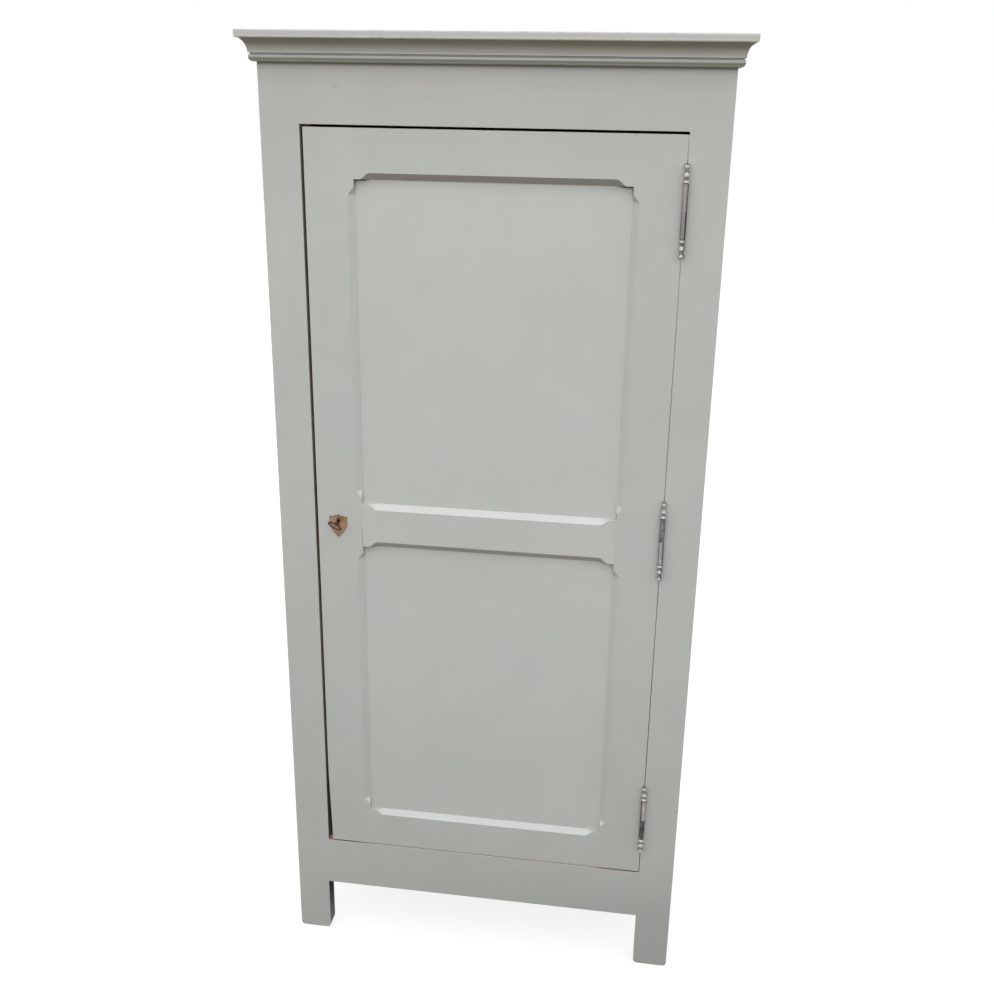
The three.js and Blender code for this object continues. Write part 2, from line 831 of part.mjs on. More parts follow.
function doorRail(zs, lockTenon, edges) {
  const rail = joined(
    block([sightLeft, sightRight], [frontY, doorBackY], zs),
    block([sightLeft - lockTenon, sightRight + doorTenonLength], panelYs, inset(zs, tenonShoulder)),
  );
  const housings = edges.flatMap((edge) => {
    const z = edge > 0 ? zs[1] : zs[0];
    const grooveZs = edge > 0 ? [z - grooveDepth, z + overrun] : [z - overrun, z + grooveDepth];
    return [block([sightLeft, sightRight], panelGrooveYs, grooveZs), railChamfer(z, -edge)];
  });
  return cut(rail, ...housings);
}

function doorPanel(zs) {
  return block(grown([sightLeft, sightRight], panelTongue), panelYs, grown(zs, panelTongue));
}

function door() {
  const [bottomZs, middleZs, topZs] = doorRails.map(([zs]) => zs);
  return [
    piece('door_lock_stile', lockStile(), paint),
    piece('door_hinge_stile', hingeStile(), paint),
    piece('door_bottom_rail', doorRail(bottomZs, doorTenonLength, [1]), paint),
    piece('door_mid_rail', doorRail(middleZs, lockTenonLength, [-1, 1]), paint),
    piece('door_top_rail', doorRail(topZs, doorTenonLength, [-1]), paint),
    piece('door_panel_lower', doorPanel(lowerSightZs), paint),
    piece('door_panel_upper', doorPanel(upperSightZs), paint),
    piece('door_stop', block(stopLathXs, stopLathYs, stopLathZs), bareWood),
  ];
}

// Hinges: the turned knuckles stand in front of the gap, their blades let into both edges

function upperBladeZs(middle) {
  return inset([middle + knuckleClearance / 2, middle + knuckleLength], bladeInset);
}

function lowerBladeZs(middle) {
  return inset([middle - knuckleLength, middle - knuckleClearance / 2], bladeInset);
}

// The contour of a finial that points up (+1) or down (-1) from a level
function finial(start, direction) {
  return finialShares.map(([radiusShare, lengthShare]) => (
    [finialRadius * radiusShare, start + direction * finialLength * lengthShare]
  ));
}

function turnedUpright(profile) {
  const geometry = turned(profile, roundSides);
  geometry.rotateX(Math.PI / 2);
  geometry.translate(hingeAxis[0], hingeAxis[1], 0);
  return solidOf(geometry);
}

function knuckle(zs, bladeXs, bladeZs) {
  return joined(
    rod('z', hingeAxis, knuckleRadius, zs),
    block(bladeXs, [hingeAxis[1], bladeRecessYs[1]], bladeZs),
  );
}

function doorLeaf(middle) {
  const zs = [middle + knuckleClearance / 2, middle + knuckleLength];
  const bladeXs = [doorRight - bladeThickness, doorRight];
  return cut(
    knuckle(zs, bladeXs, upperBladeZs(middle)),
    rod('z', hingeAxis, hingeBoreRadius, grown(zs, overrun)),
  );
}

// The lower knuckle ends in a finial, and its bore stops above it
function caseLeaf(middle) {
  const zs = [middle - knuckleLength, middle - knuckleClearance / 2];
  const bladeXs = [openingHalf, openingHalf + bladeThickness];
  const foot = turnedUpright([
    [0, zs[0] - finialLength],
    ...finial(zs[0], -1).reverse(),
    [knuckleRadius, zs[0]],
    [0, zs[0] + boreFloor / 2],
  ]);
  return cut(
    joined(knuckle(zs, bladeXs, lowerBladeZs(middle)), foot),
    rod('z', hingeAxis, hingeBoreRadius, [zs[0] + boreFloor, zs[1] + overrun]),
  );
}

// The pin drops through both knuckles and stands on the floor of the bore, its finial on top
function hingePin(middle) {
  const top = middle + knuckleLength + knuckleClearance;
  const bottom = middle - knuckleLength + boreFloor + knuckleClearance;
  return turnedUpright([
    [0, bottom],
    [hingePinRadius, bottom],
    [hingePinRadius, top],
    [finialShares[0][0] * finialRadius, top],
    ...finial(top, 1),
    [0, top + finialLength],
  ]);
}

function hinges() {
  return hingeMiddles.flatMap(([place, middle]) => [
    piece(`hinge_${place}_door_leaf`, doorLeaf(middle), steel),
    piece(`hinge_${place}_case_leaf`, caseLeaf(middle), steel),
    piece(`hinge_${place}_pin`, hingePin(middle), steel),
  ]);
}

// Lock: a shallow case let into the back of the stile, with a bolt that the key's bit throws

function lockCase() {
  const bodyXs = [doorLeft, lockXs[1]];
  const shell = cut(
    joined(
      block(bodyXs, [lockFrontY, lockRoomYs[1]], lockZs),
      block([doorLeft, lockXs[0]], [lockFrontY, doorBackY], selvedgeZs),
    ),
    block(lockRoomXs, [lockRoomYs[0], doorBackY + overrun], lockRoomZs),
    block([doorLeft - overrun, lockXs[0] + overrun], boltRoomYs, boltRoomZs),
    keyhole([lockFrontY - overrun, lockRoomYs[0] + overrun]),
  );
  const guidePinYs = [lockFrontY + lockWall / 2, lockRoomYs[1] - panelPlay];
  return joined(shell, rod('y', guidePinSeat, guidePinRadius, guidePinYs));
}

function lockCover() {
  return cut(
    block(lockXs, [lockRoomYs[1], doorBackY], lockZs),
    rod('y', [keyX, keyZ], keyPilotRadius + keyRunningGap, grown([lockRoomYs[1], doorBackY], overrun)),
  );
}

// The bolt slides on the guide pin. The notch in its lower edge is wide enough for the bit to
// swing through while the bolt keeps a constant pace with the key
function lockBolt() {
  const cutYs = grown(boltYs, overrun);
  const slotReach = guidePinRadius + boltPlay;
  const slotXs = [guidePinSeat[0] - slotReach, guidePinSeat[0] + boltTravel + slotReach];
  return cut(
    block([doorLeft + boltPlay, boltNotchX + boltNotchWidth / 2 + boltTailWidth], boltYs, boltZs),
    block(centred(boltNotchX, boltNotchWidth), cutYs, [boltZs[0] - overrun, boltZs[0] + boltNotchDepth]),
    block(slotXs, cutYs, centred(guidePinSeat[1], 2 * slotReach)),
  );
}

// A bowed strip of spring steel under the top wall steadies the bolt
function lockSpring() {
  const xs = inset(lockRoomXs, springInset);
  const low = boltZs[1] + boltPlay;
  const rise = lockRoomZs[1] - boltPlay - springThickness - low;
  const lower = [];
  for (let i = 0; i <= springSteps; i += 1) {
    const share = i / springSteps;
    lower.push([xs[0] + (xs[1] - xs[0]) * share, low + rise * (2 * share - 1) ** 2]);
  }
  const upper = lower.map(([x, z]) => [x, z + springThickness]).reverse();
  return extruded(polygon([...lower, ...upper]), 'y', centred(lockRoomMiddleY, springWidth));
}

function strikePlate() {
  return cut(
    block([-openingHalf - strikeThickness, -openingHalf], strikeYs, strikeZs),
    block(grown([-openingHalf - strikeThickness, -openingHalf], overrun), boltRoomYs, boltRoomZs),
  );
}

function escutcheon() {
  const half = shieldWidth / 2;
  const cornerZ = keyZ + shieldRise;
  const peakZ = cornerZ + shieldPeak;
  const dipZ = (cornerZ + peakZ) / 2 - 2 * shieldDip;
  const shoulderZ = keyZ - shieldShoulderDrop;
  const hipZ = keyZ - shieldDrop * shieldHipShare;
  const outline = new THREE.Shape();
  outline.moveTo(keyX - half, cornerZ);
  outline.quadraticCurveTo(keyX - half / 2, dipZ, keyX, peakZ);
  outline.quadraticCurveTo(keyX + half / 2, dipZ, keyX + half, cornerZ);
  outline.lineTo(keyX + half, shoulderZ);
  outline.quadraticCurveTo(keyX + half, hipZ, keyX, keyZ - shieldDrop);
  outline.quadraticCurveTo(keyX - half, hipZ, keyX - half, shoulderZ);
  const ys = [frontY - shieldThickness, frontY];
  return cut(extruded(outline, 'y', ys), keyhole(grown(ys, overrun)));
}

// A ring of round wire in the local XY plane, bent to an oval
function ovalRing(halfWidth, halfLength, tube) {
  const geometry = new THREE.TorusGeometry(halfWidth, tube, bowTubeSides, bowSides);
  const points = geometry.attributes.position;
  for (let i = 0; i < points.count; i += 1) {
    const angle = Math.atan2(points.getY(i), points.getX(i));
    const outward = Math.hypot(points.getX(i), points.getY(i)) - halfWidth;
    const [across, along] = [Math.cos(angle), Math.sin(angle)];
    const normal = new THREE.Vector2(across / halfWidth, along / halfLength).normalize();
    points.setXY(
      i,
      halfWidth * across + outward * normal.x,
      halfLength * along + outward * normal.y,
    );
  }
  return geometry;
}

// The key lies along its own Y axis, its bit towards +X, its bow in the same plane as the bit
function keySolid() {
  const bitYs = inset([lockRoomYs[0] - frontY, lockRoomYs[1] - frontY], keyBitPlay);
  const bowEdge = keyBowHalfLength - keyBowReach;
  const collar = bowEdge + keyBowTube + keyCollarLength / 2;
  const shank = turned([
    [0, bowEdge],
    [keyShankRadius, bowEdge],
    [keyShankRadius, collar],
    [keyCollarRadius, collar + keyCollarLength / 4],
    [keyCollarRadius, collar + keyCollarLength * (3 / 4)],
    [keyShankRadius, collar + keyCollarLength],
    [keyShankRadius, bitYs[1]],
    [keyPilotRadius, bitYs[1]],
    [keyPilotRadius, doorThickness],
    [0, doorThickness],
  ], roundSides);
  const bow = ovalRing(keyBowHalfWidth, keyBowHalfLength, keyBowTube);
  bow.translate(0, -keyBowReach, 0);
  return joined(
    solidOf(shank),
    solidOf(bow),
    block([0, keyBitReach], bitYs, centred(0, keyBitThickness)),
  );
}

function key() {
  const mesh = piece('key', keySolid(), darkIron);
  mesh.position.set(keyX, frontY, keyZ);
  mesh.rotation.y = keyRestAngle;
  return mesh;
}

function lock() {
  return [
    piece('escutcheon', escutcheon(), wornBrass),
    piece('lock_case', lockCase(), steel),
    piece('lock_cover', lockCover(), steel),
    piece('lock_bolt', lockBolt(), steel),
    piece('lock_spring', lockSpring(), steel),
    piece('strike_plate', strikePlate(), steel),
    key(),
  ];
}

const cabinet = new THREE.Group();
cabinet.add(
  ...caseFrame(),
  ...sideWalls(),
  ...backWall(),
  ...cornice(),
  ...shelving(),
  ...door(),
  ...hinges(),
  ...lock(),
);

export default cabinet;
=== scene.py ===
import json
import math

import bmesh
import bpy
from mathutils import Matrix, Vector, geometry
from mathutils.bvhtree import BVHTree

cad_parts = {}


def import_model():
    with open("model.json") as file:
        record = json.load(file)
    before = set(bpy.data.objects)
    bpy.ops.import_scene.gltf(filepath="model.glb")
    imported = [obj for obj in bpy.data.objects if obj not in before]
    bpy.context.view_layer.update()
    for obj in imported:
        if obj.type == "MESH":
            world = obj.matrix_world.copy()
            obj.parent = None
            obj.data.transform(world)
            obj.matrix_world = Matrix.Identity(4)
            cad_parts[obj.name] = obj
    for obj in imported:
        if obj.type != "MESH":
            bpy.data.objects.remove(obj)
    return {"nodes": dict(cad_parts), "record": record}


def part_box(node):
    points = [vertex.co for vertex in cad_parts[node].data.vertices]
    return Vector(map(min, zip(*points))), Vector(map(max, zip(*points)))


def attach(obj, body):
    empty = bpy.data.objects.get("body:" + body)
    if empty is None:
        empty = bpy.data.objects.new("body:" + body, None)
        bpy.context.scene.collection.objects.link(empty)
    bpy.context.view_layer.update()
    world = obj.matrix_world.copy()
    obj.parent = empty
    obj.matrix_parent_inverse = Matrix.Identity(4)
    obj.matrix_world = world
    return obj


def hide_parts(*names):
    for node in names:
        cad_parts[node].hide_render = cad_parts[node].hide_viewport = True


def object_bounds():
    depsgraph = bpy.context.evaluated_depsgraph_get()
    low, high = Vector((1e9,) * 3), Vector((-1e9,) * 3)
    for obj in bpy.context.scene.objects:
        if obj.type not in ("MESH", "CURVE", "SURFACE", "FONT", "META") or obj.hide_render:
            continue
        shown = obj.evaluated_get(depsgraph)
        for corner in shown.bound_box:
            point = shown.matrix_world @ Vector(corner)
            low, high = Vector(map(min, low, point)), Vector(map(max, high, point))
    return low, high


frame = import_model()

CAD_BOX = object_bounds()
NODES = frame["nodes"]
BEHAVIOUR = frame["record"]["behaviour"]
BODY_OF = {node: body for body, members in BEHAVIOUR["bodies"].items() for node in members}
MM = 0.001
X, Y, Z = range(3)
AXIS_NAMES = ("level", "deep", "upright")

# Places read off the frame
FRONT_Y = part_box("front_stile_left")[0].y
BACK_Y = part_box("rear_post_left")[1].y
FLOOR_Z = CAD_BOX[0][2]
TOP_Z = CAD_BOX[1][2]
FRAME_BACK_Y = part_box("front_stile_right")[1].y
SKIRT_Z, OPENING_BOTTOM = (corner.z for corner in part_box("bottom_rail"))
OPENING_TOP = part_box("top_rail")[0].z
CORNICE_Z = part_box("cornice_front")[0].z
SIGHT_XS = (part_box("door_lock_stile")[1].x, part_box("door_hinge_stile")[0].x)
KEY_PLACE = next(joint["pos_m"] for joint in BEHAVIOUR["joints"] if joint["name"] == "key_turn")

# Camera, solved from the photograph's straight edges. Its distance is from the case's front face
CAMERA_X = 0.2907
CAMERA_DISTANCE = 1.8767
CAMERA_HEIGHT = 1.6643
CAMERA_YAW = math.radians(-8.18)
CAMERA_PITCH = math.radians(-19.73)
CAMERA_ROLL = math.radians(0.908)
CAMERA_LENS = 41.05

# Light, and the floor, whose own glow makes up what the light on it is short of white
SKY = 1.45
SKY_COLOUR = "FBFCFF"
LAMP_SIZE = (3.6, 2.6)
LAMP_HEIGHT = 2.75
LAMP_AHEAD = 0.05
LAMP_POWER = 15
LAMP_COLOUR = "FFFDF9"
FLOOR_SIZE = 30
FLOOR_BOUNCE = 0.04
FLOOR_SHADOW_SHARE = 0.22
FLOOR_LIGHT = 0.8

# Height and lightness of the paint: darker at the feet, partly painted shade of the light falling off near
# the floor and partly dirt, lighter at middle height, and a little darker under the cornice as painted
# shade
SHADE_AND_GRIME = [
    (0.0, 0.8), (0.11, 0.85), (0.22, 0.94), (0.4, 0.995), (0.8, 1.045), (1.2, 1.045), (1.5, 1.045),
    (1.64, 0.985), (1.75, 0.985),
]

# Soot, painted shade and painted highlights by height: the cornice's shadow on the frieze, its dark hollows
# and undersides and its lit bead tops. Millimetres above the cornice's foot, how light it leaves the paint,
# how red, how yellow
SOOT_AND_SHADE = [
    (-40, 1, 0, 0), (-18, 0.93, 0.02, 0), (-10, 0.87, 0.03, 0), (-6, 0.82, 0.04, 0),
    (-4, 0.65, 0.05, 0.02), (-3, 0.47, 0.06, 0.03), (-2, 0.33, 0.06, 0.1), (-1, 0.38, 0.05, 0.15),
    (0, 0.65, 0.04, 0.15), (0.2, 0.98, 0.03, 0.15), (2, 1.09, 0, 0.15), (3.4, 0.51, -0.02, 0.2),
    (5, 0.37, -0.02, 0.2), (6.2, 0.58, 0, 0.1), (7, 0.81, 0, 0), (9.2, 0.91, 0.02, 0),
    (10.2, 0.58, 0.03, -0.1), (11.2, 0.5, 0.02, -0.05), (13.2, 0.86, 0.03, 0), (13.6, 1.2, 0.02, 0),
    (16, 0.78, 0.02, 0.05), (19, 0.75, 0.04, 0.1), (23, 0.63, 0.04, 0.1), (28.4, 0.42, 0.1, 0.15),
    (32, 0.45, 0.1, 0.25), (34.6, 0.69, 0.05, 0.3), (35.3, 1.77, 0.02, 0.2), (36.1, 1.83, 0.02, 0.15),
    (37, 1.57, 0.04, 0.05), (39.5, 1.02, 0.03, -0.05), (48, 1, 0.02, -0.05),
]

# Height, and how the paint's colour changes there as painted light on the faces that slope up, then as
# painted shade on those that look down. Uprights take only a share of the latter
PAINTED_LIGHT_ON_SLOPES = [(0.3, (1.18, 1.2, 1.23)), (0.96, (1.11, 1.09, 1.15))]
PAINTED_SHADE_UNDERNEATH = [(0.2, (0.73, 0.68, 0.61)), (0.88, (0.77, 0.73, 0.68)), (1.52, (0.64, 0.57, 0.52))]
UPRIGHT_PAINTED_SHADE_SHARE = 0.45

# Near the floor the paint grows darker to the right, as painted shade: by how much a metre, and the heights
# between which that fades out
SHADE_TO_RIGHT = -0.24
SHADE_TO_RIGHT_ZS = (0.1, 0.3)

# Small marks on the front, some of them painted shade: x, z, half width, half height, colour and how
# strongly it covers
BLOTS = {
    X: [
        # The first two are dents in the frieze, drawn as darker spots of painted shade
        (-0.2514, 1.6673, 0.0034, 0.0009, "8A8681", 0.7), (-0.1018, 1.6515, 0.0018, 0.0011, "8E8A84", 0.6),
        (0.2318, 1.6018, 0.0009, 0.003, "6A6762", 0.7),
    ],
    Z: [
        (0.3753, 0.3677, 0.0011, 0.0013, "4A4540", 0.8), (0.3188, 0.383, 0.002, 0.0026, "3A3230", 0.8),
        (-0.2269, 0.889, 0.0006, 0.019, "55524A", 0.6), (0.3078, 0.2262, 0.0016, 0.0012, "C8BCAA", 0.8),
        # The last is a line of painted shade beside the hinge stile's inner edge
        (0.2333, 0.9735, 0.0008, 0.017, "5E5B54", 0.65),
    ],
}

# The line under the door and the smear below it, each as the heights over the opening's foot where it
# begins, is full, begins to fade and ends. Both change towards the line's two ends
SILL_LINE = (-1.1 * MM, -0.4 * MM, 2.4 * MM, 3.2 * MM)
SILL_SMEAR = (-3.6 * MM, -2.4 * MM, -1.6 * MM, -0.9 * MM)
SILL_LEFT_END = (-0.27, -0.19)
SILL_RIGHT_END = (0.21, 0.25)
SILL_LINE_SHARES = (0.35, 0.88)
SILL_SMEAR_SHARES = (0.2, 0.75)

# Painted shade and dirt in a panel's upper corners: the distances at which each kind begins to fade, and
# has faded
LINE_UNDER_RAIL = (2 * MM, 5.4 * MM)
LINE_FROM_STILE = (14 * MM, 30 * MM)
EDGE_FROM_STILE = (1.6 * MM, 3.6 * MM)
EDGE_UNDER_RAIL = (6 * MM, 24 * MM)
HAZE_UNDER_RAIL = (0, 20 * MM)
HAZE_FROM_STILE = (20 * MM, 90 * MM)
SHADE_AND_DIRT_RAGGED = 1.6 * MM

# The paint wraps round the front arrises at most so far, with a blurred and uneven end
WRAP = 4 * MM
WRAP_BLUR = 1 * MM
WRAP_RAGGED = 6 * MM

# The old coats in the reveals end near the frame's back, and darken downwards between two heights
REVEAL_END_YS = (FRAME_BACK_Y - 4 * MM, FRAME_BACK_Y + 1 * MM)
DARK_REVEAL_ZS = (0.3, 0.46)

# Wood: how closely its rings lie, how strongly they show, and how far the grain moves on from board to
# board, then its dust and the darkening of its arrises
RING_DENSITY = 125
RING_SHARE = 0.52
BOARD_SHIFT = 7.3
DUST_ON_LEDGES = 0.28
DUST_IN_PATCHES = 0.16
HANDLED_SHARE = 0.7

# Surface relief
WOOD_RELIEF = 0.15 * MM
PAINT_RELIEF = 0.06 * MM
METAL_RELIEF = 0.05 * MM
BRASS_RELIEF = 0.08 * MM

# The brass's worn spot round the keyhole: its middle over the key, how tall it is, where it fades
KEYHOLE_RISE = 1.5 * MM
KEYHOLE_SQUASH = 0.62
KEYHOLE_WEAR = (3.4 * MM, 5.4 * MM)
BRASS_UNEVEN = 5 * MM

# Dark spots at the brass's upper left corner and at its peak: along from there, down from the top, then
# as for the small marks above
CORNER_SPOT = (1.5 * MM, 5.2 * MM, 1.4 * MM, 2.6 * MM, "43372E", 0.7)
PEAK_SPOT = (-0.3 * MM, 1.8 * MM, 0.8 * MM, 2.2 * MM, "5A4034", 0.6)

# Eased arrises
PAINTED_EASE = 0.7 * MM
BARE_EASE = 0.6 * MM
METAL_EASE = 0.25 * MM
TOUCHING = 0.42 * MM
PROBE_STEP = 7 * MM
PROBE_HALVINGS = 6
ARRIS_ANGLE = math.radians(24)
SMOOTH_ANGLE = math.radians(34)
EASED_ANGLE = math.radians(50)
FLAT_ANGLE = math.radians(0.3)
SAME_POINT = 0.002 * MM
WELD = 0.01 * MM

# A face is outside where enough of its area has enough free rays, one straight and a ring of leaning ones
RING_OF_RAYS = 8
RING_TURN = 0.4
RAY_LEAN = 0.55
RAY_LIFT = 0.05 * MM
FREE_RAYS = 2
IN_VIEW_SHARE = 0.2

# How much painted shade and dirt the feet's inner faces take at the floor. Under the rail it is 1
SHADE_AND_SOIL_AT_FLOOR = 0.3


def colour(code):
    """A hex colour, as read from a screen, as linear RGBA."""
    values = [int(code[i:i + 2], 16) / 255 for i in (0, 2, 4)]
    return [v / 12.92 if v <= 0.04045 else ((v + 0.055) / 1.055) ** 2.4 for v in values] + [1]


PAINT_GREYS = (colour("B3B4AD"), colour("B8B9B3"))
WARM_GREY = colour("B9B1AC")
COOL_GREY = colour("AEB6B1")
WORN_PAINT = colour("8F887B")
# Painted shade and dirt on the feet's inner faces
FOOT_SHADE_AND_DIRT = colour("332E26")
# Painted shade and dirt in the door panels' upper corners
CORNER_SHADE_AND_DIRT = colour("302B28")
SILL_RED = colour("D2BBB4")
SILL_BROWN = colour("7A4A3C")
SMEARED_PAINT = colour("CDB5AA")
OLD_REDS = (colour("A98677"), colour("CDBBAE"))
OLD_GREYS = (colour("979589"), colour("ACA598"))
OLD_BROWN = colour("B08774")
EARLY_WOOD = (colour("B98560"), colour("A3704D"))
LATE_WOOD = (colour("965F3F"), colour("815036"))
FIBRES = colour("6C4730")
HANDLED_WOOD = colour("59402E")
DUST = colour("8C8273")
BRASS_SIDES = (colour("958072"), colour("A6845D"))
BRASS_FOOT = colour("8B6E5E")
BRASS_ARRIS = colour("4C4036")
KEYHOLE_BROWN = colour("5F3C34")


def linked(name, data):
    made = bpy.data.objects.new(name, data)
    bpy.context.scene.collection.objects.link(made)
    return made


# Stage

def camera():
    data = bpy.data.cameras.new("camera")
    data.lens = CAMERA_LENS
    data.clip_end = FLOOR_SIZE
    ahead = Vector((
        math.sin(CAMERA_YAW) * math.cos(CAMERA_PITCH),
        math.cos(CAMERA_YAW) * math.cos(CAMERA_PITCH),
        math.sin(CAMERA_PITCH),
    ))
    right = Vector((math.cos(CAMERA_YAW), -math.sin(CAMERA_YAW), 0))
    up = right.cross(ahead)
    side = right * math.cos(CAMERA_ROLL) + up * math.sin(CAMERA_ROLL)
    top = up * math.cos(CAMERA_ROLL) - right * math.sin(CAMERA_ROLL)
    axes = Matrix((side, top, -ahead)).transposed().to_4x4()
    view = linked("camera", data)
    place = Vector((CAMERA_X, FRONT_Y - CAMERA_DISTANCE, CAMERA_HEIGHT))
    view.matrix_world = Matrix.Translation(place) @ axes
    bpy.context.scene.camera = view


class Shading:
    """A tree of shader nodes, each added with its inputs."""

    def __init__(self, tree):
        self.tree = tree
        tree.nodes.clear()

    def add(self, kind, inputs=(), **settings):
        node = self.tree.nodes.new("ShaderNode" + kind)
        for name, value in settings.items():
            setattr(node, name, value)
        for name, value in dict(inputs).items():
            socket = node.inputs[name]
            if isinstance(value, bpy.types.NodeSocket):
                self.tree.links.new(value, socket)
            else:
                socket.default_value = value
        return node

    def math(self, operation, *values, clamp=False):
        node = self.add("Math", enumerate(values), operation=operation, use_clamp=clamp)
        return node.outputs[0]

    def total(self, first, *others):
        for other in others:
            first = self.math("ADD", first, other)
        return first

    def product(self, first, *others):
        for other in others:
            first = self.math("MULTIPLY", first, other)
        return first

    def seen(self):
        """1 for the rays that show the background: to the camera, in a gloss or through glass."""
        path = self.add("LightPath").outputs
        gloss = self.math("MAXIMUM", path["Is Glossy Ray"], path["Is Transmission Ray"])
        return self.math("MAXIMUM", path["Is Camera Ray"], gloss)

    def mixed(self, share, first, second):
        return self.add("MixShader", {0: share, 1: first, 2: second}).outputs[0]


def world():
    made = bpy.data.worlds.new("studio")
    made.use_nodes = True
    bpy.context.scene.world = made
    shading = Shading(made.node_tree)
    sky = shading.add("Background", {"Color": colour(SKY_COLOUR), "Strength": SKY}).outputs[0]
    white = shading.add("Background", {"Color": (1, 1, 1, 1), "Strength": 1}).outputs[0]
    shading.add("OutputWorld", {"Surface": shading.mixed(shading.seen(), sky, white)})


def lamp():
    data = bpy.data.lights.new("overhead_lamp", "AREA")
    data.shape = "RECTANGLE"
    data.size, data.size_y = LAMP_SIZE
    data.energy = LAMP_POWER
    data.color = colour(LAMP_COLOUR)[:3]
    made = linked("overhead_lamp", data)
    made.location = (0, FRONT_Y - LAMP_SIZE[1] / 2 - LAMP_AHEAD, LAMP_HEIGHT)
    made.visible_camera = False


def floor():
    """A floor that looks white but for the object's shadow, and throws little light back."""
    mesh = bpy.data.meshes.new("floor")
    half = FLOOR_SIZE / 2
    corners = [(-half, -half), (half, -half), (half, half), (-half, half)]
    mesh.from_pydata([(x, y, FLOOR_Z) for x, y in corners], [], [(0, 1, 2, 3)])
    material = bpy.data.materials.new("floor")
    material.use_nodes = True
    shading = Shading(material.node_tree)
    bounce = shading.add("BsdfDiffuse", {"Color": (FLOOR_BOUNCE,) * 3 + (1,)}).outputs[0]
    shade = shading.add("BsdfDiffuse", {"Color": (FLOOR_SHADOW_SHARE,) * 3 + (1,)}).outputs[0]
    glow = shading.add("Emission", {"Strength": 1 - FLOOR_LIGHT * FLOOR_SHADOW_SHARE}).outputs[0]
    pale = shading.add("AddShader", {0: shade, 1: glow}).outputs[0]
    shading.add("OutputMaterial", {"Surface": shading.mixed(shading.seen(), bounce, pale)})
    mesh.materials.append(material)
    linked("floor", mesh)


# Finishes

class Finish(Shading):
    """A procedural material in the object's own coordinates."""

    def __init__(self, name):
        self.material = bpy.data.materials.new(name)
        self.material.use_nodes = True
        super().__init__(self.material.node_tree)
        coordinates = self.add("TexCoord").outputs
        self.place = coordinates["Object"]
        self.x, self.y, self.z = self.add("SeparateXYZ", {0: self.place}).outputs
        self.facing = self.add("SeparateXYZ", {0: coordinates["Normal"]}).outputs

    def noise(self, scales, detail=3, roughness=0.5, distortion=0, place=None):
        """Noise with about so many waves to the metre along each axis."""
        scaled = self.add("Mapping", {"Vector": place or self.place, "Scale": scales}).outputs[0]
        inputs = {
            "Vector": scaled, "Scale": 1, "Detail": detail,
            "Roughness": roughness, "Distortion": distortion,
        }
        return self.add("TexNoise", inputs).outputs["Fac"]

    def between(self, value, low, high, start=0.0, end=1.0):
        """From start where the value is low to end where it is high, eased."""
        inputs = {"Value": value, "From Min": low, "From Max": high, "To Min": start, "To Max": end}
        return self.add("MapRange", inputs, interpolation_type="SMOOTHSTEP").outputs[0]

    def band(self, value, low, full, fading, gone):
        """1 from full to fading, and 0 below low and past gone."""
        return self.product(self.between(value, low, full), self.between(value, fading, gone, 1, 0))

    def mix(self, share, first, second):
        return self.add("Mix", {0: share, 6: first, 7: second}, data_type="RGBA").outputs[2]

    def times(self, first, second):
        inputs = {0: 1.0, 6: first, 7: second}
        return self.add("Mix", inputs, data_type="RGBA", blend_type="MULTIPLY").outputs[2]

    def steps(self, value, stops):
        """A smooth curve through (value, result) stops over the object's height."""
        share = self.math("DIVIDE", value, TOP_Z)
        curve = self.add("FloatCurve", {"Value": share})
        points = curve.mapping.curves[0].points
        while len(points) < len(stops):
            points.new(0.5, 0.5)
        for point, (place, result) in zip(points, stops):
            point.location = (place / TOP_Z, result / 2)
        curve.mapping.update()
        return self.product(curve.outputs[0], 2)

    def tinted(self, value, stops):
        """A colour that runs evenly through (value, (red, green, blue)) stops."""
        low, high = stops[0][0], stops[-1][0]
        share = self.math("DIVIDE", self.math("SUBTRACT", value, low), high - low, clamp=True)
        node = self.add("ValToRGB", {"Fac": share})
        elements = node.color_ramp.elements
        elements[0].color = (*stops[0][1], 1)
        elements[1].color = (*stops[-1][1], 1)
        for place, shade in stops[1:-1]:
            elements.new((place - low) / (high - low)).color = (*shade, 1)
        return node.outputs["Color"]

    def blotted(self, base, x, z, half_width, half_height, code, share):
        """A small mark on the front, round a place."""
        across = self.math("DIVIDE", self.math("SUBTRACT", self.x, x), half_width)
        rise = self.math("DIVIDE", self.math("SUBTRACT", self.z, z), half_height)
        reach = self.total(self.product(across, across), self.product(rise, rise))
        front = self.math("LESS_THAN", self.y, FRONT_Y + MM)
        cover = self.product(self.between(reach, 0.6, 1.4, share, 0), front)
        return self.mix(cover, base, colour(code))

    def mark(self, name):
        return self.add("Attribute", attribute_name=name).outputs["Fac"]

    def bump(self, height, distance):
        return self.add("Bump", {"Height": height, "Distance": distance}).outputs[0]

    def shade(self, base, roughness, normal, **others):
        inputs = {"Base Color": base, "Roughness": roughness, "Normal": normal, **others}
        shader = self.add("BsdfPrincipled", inputs).outputs[0]
        self.add("OutputMaterial", {"Surface": shader})
        return self.material


def along(axis, across, run):
    """Noise scales that draw a texture out along one axis."""
    scales = [across] * 3
    scales[axis] = run
    return scales


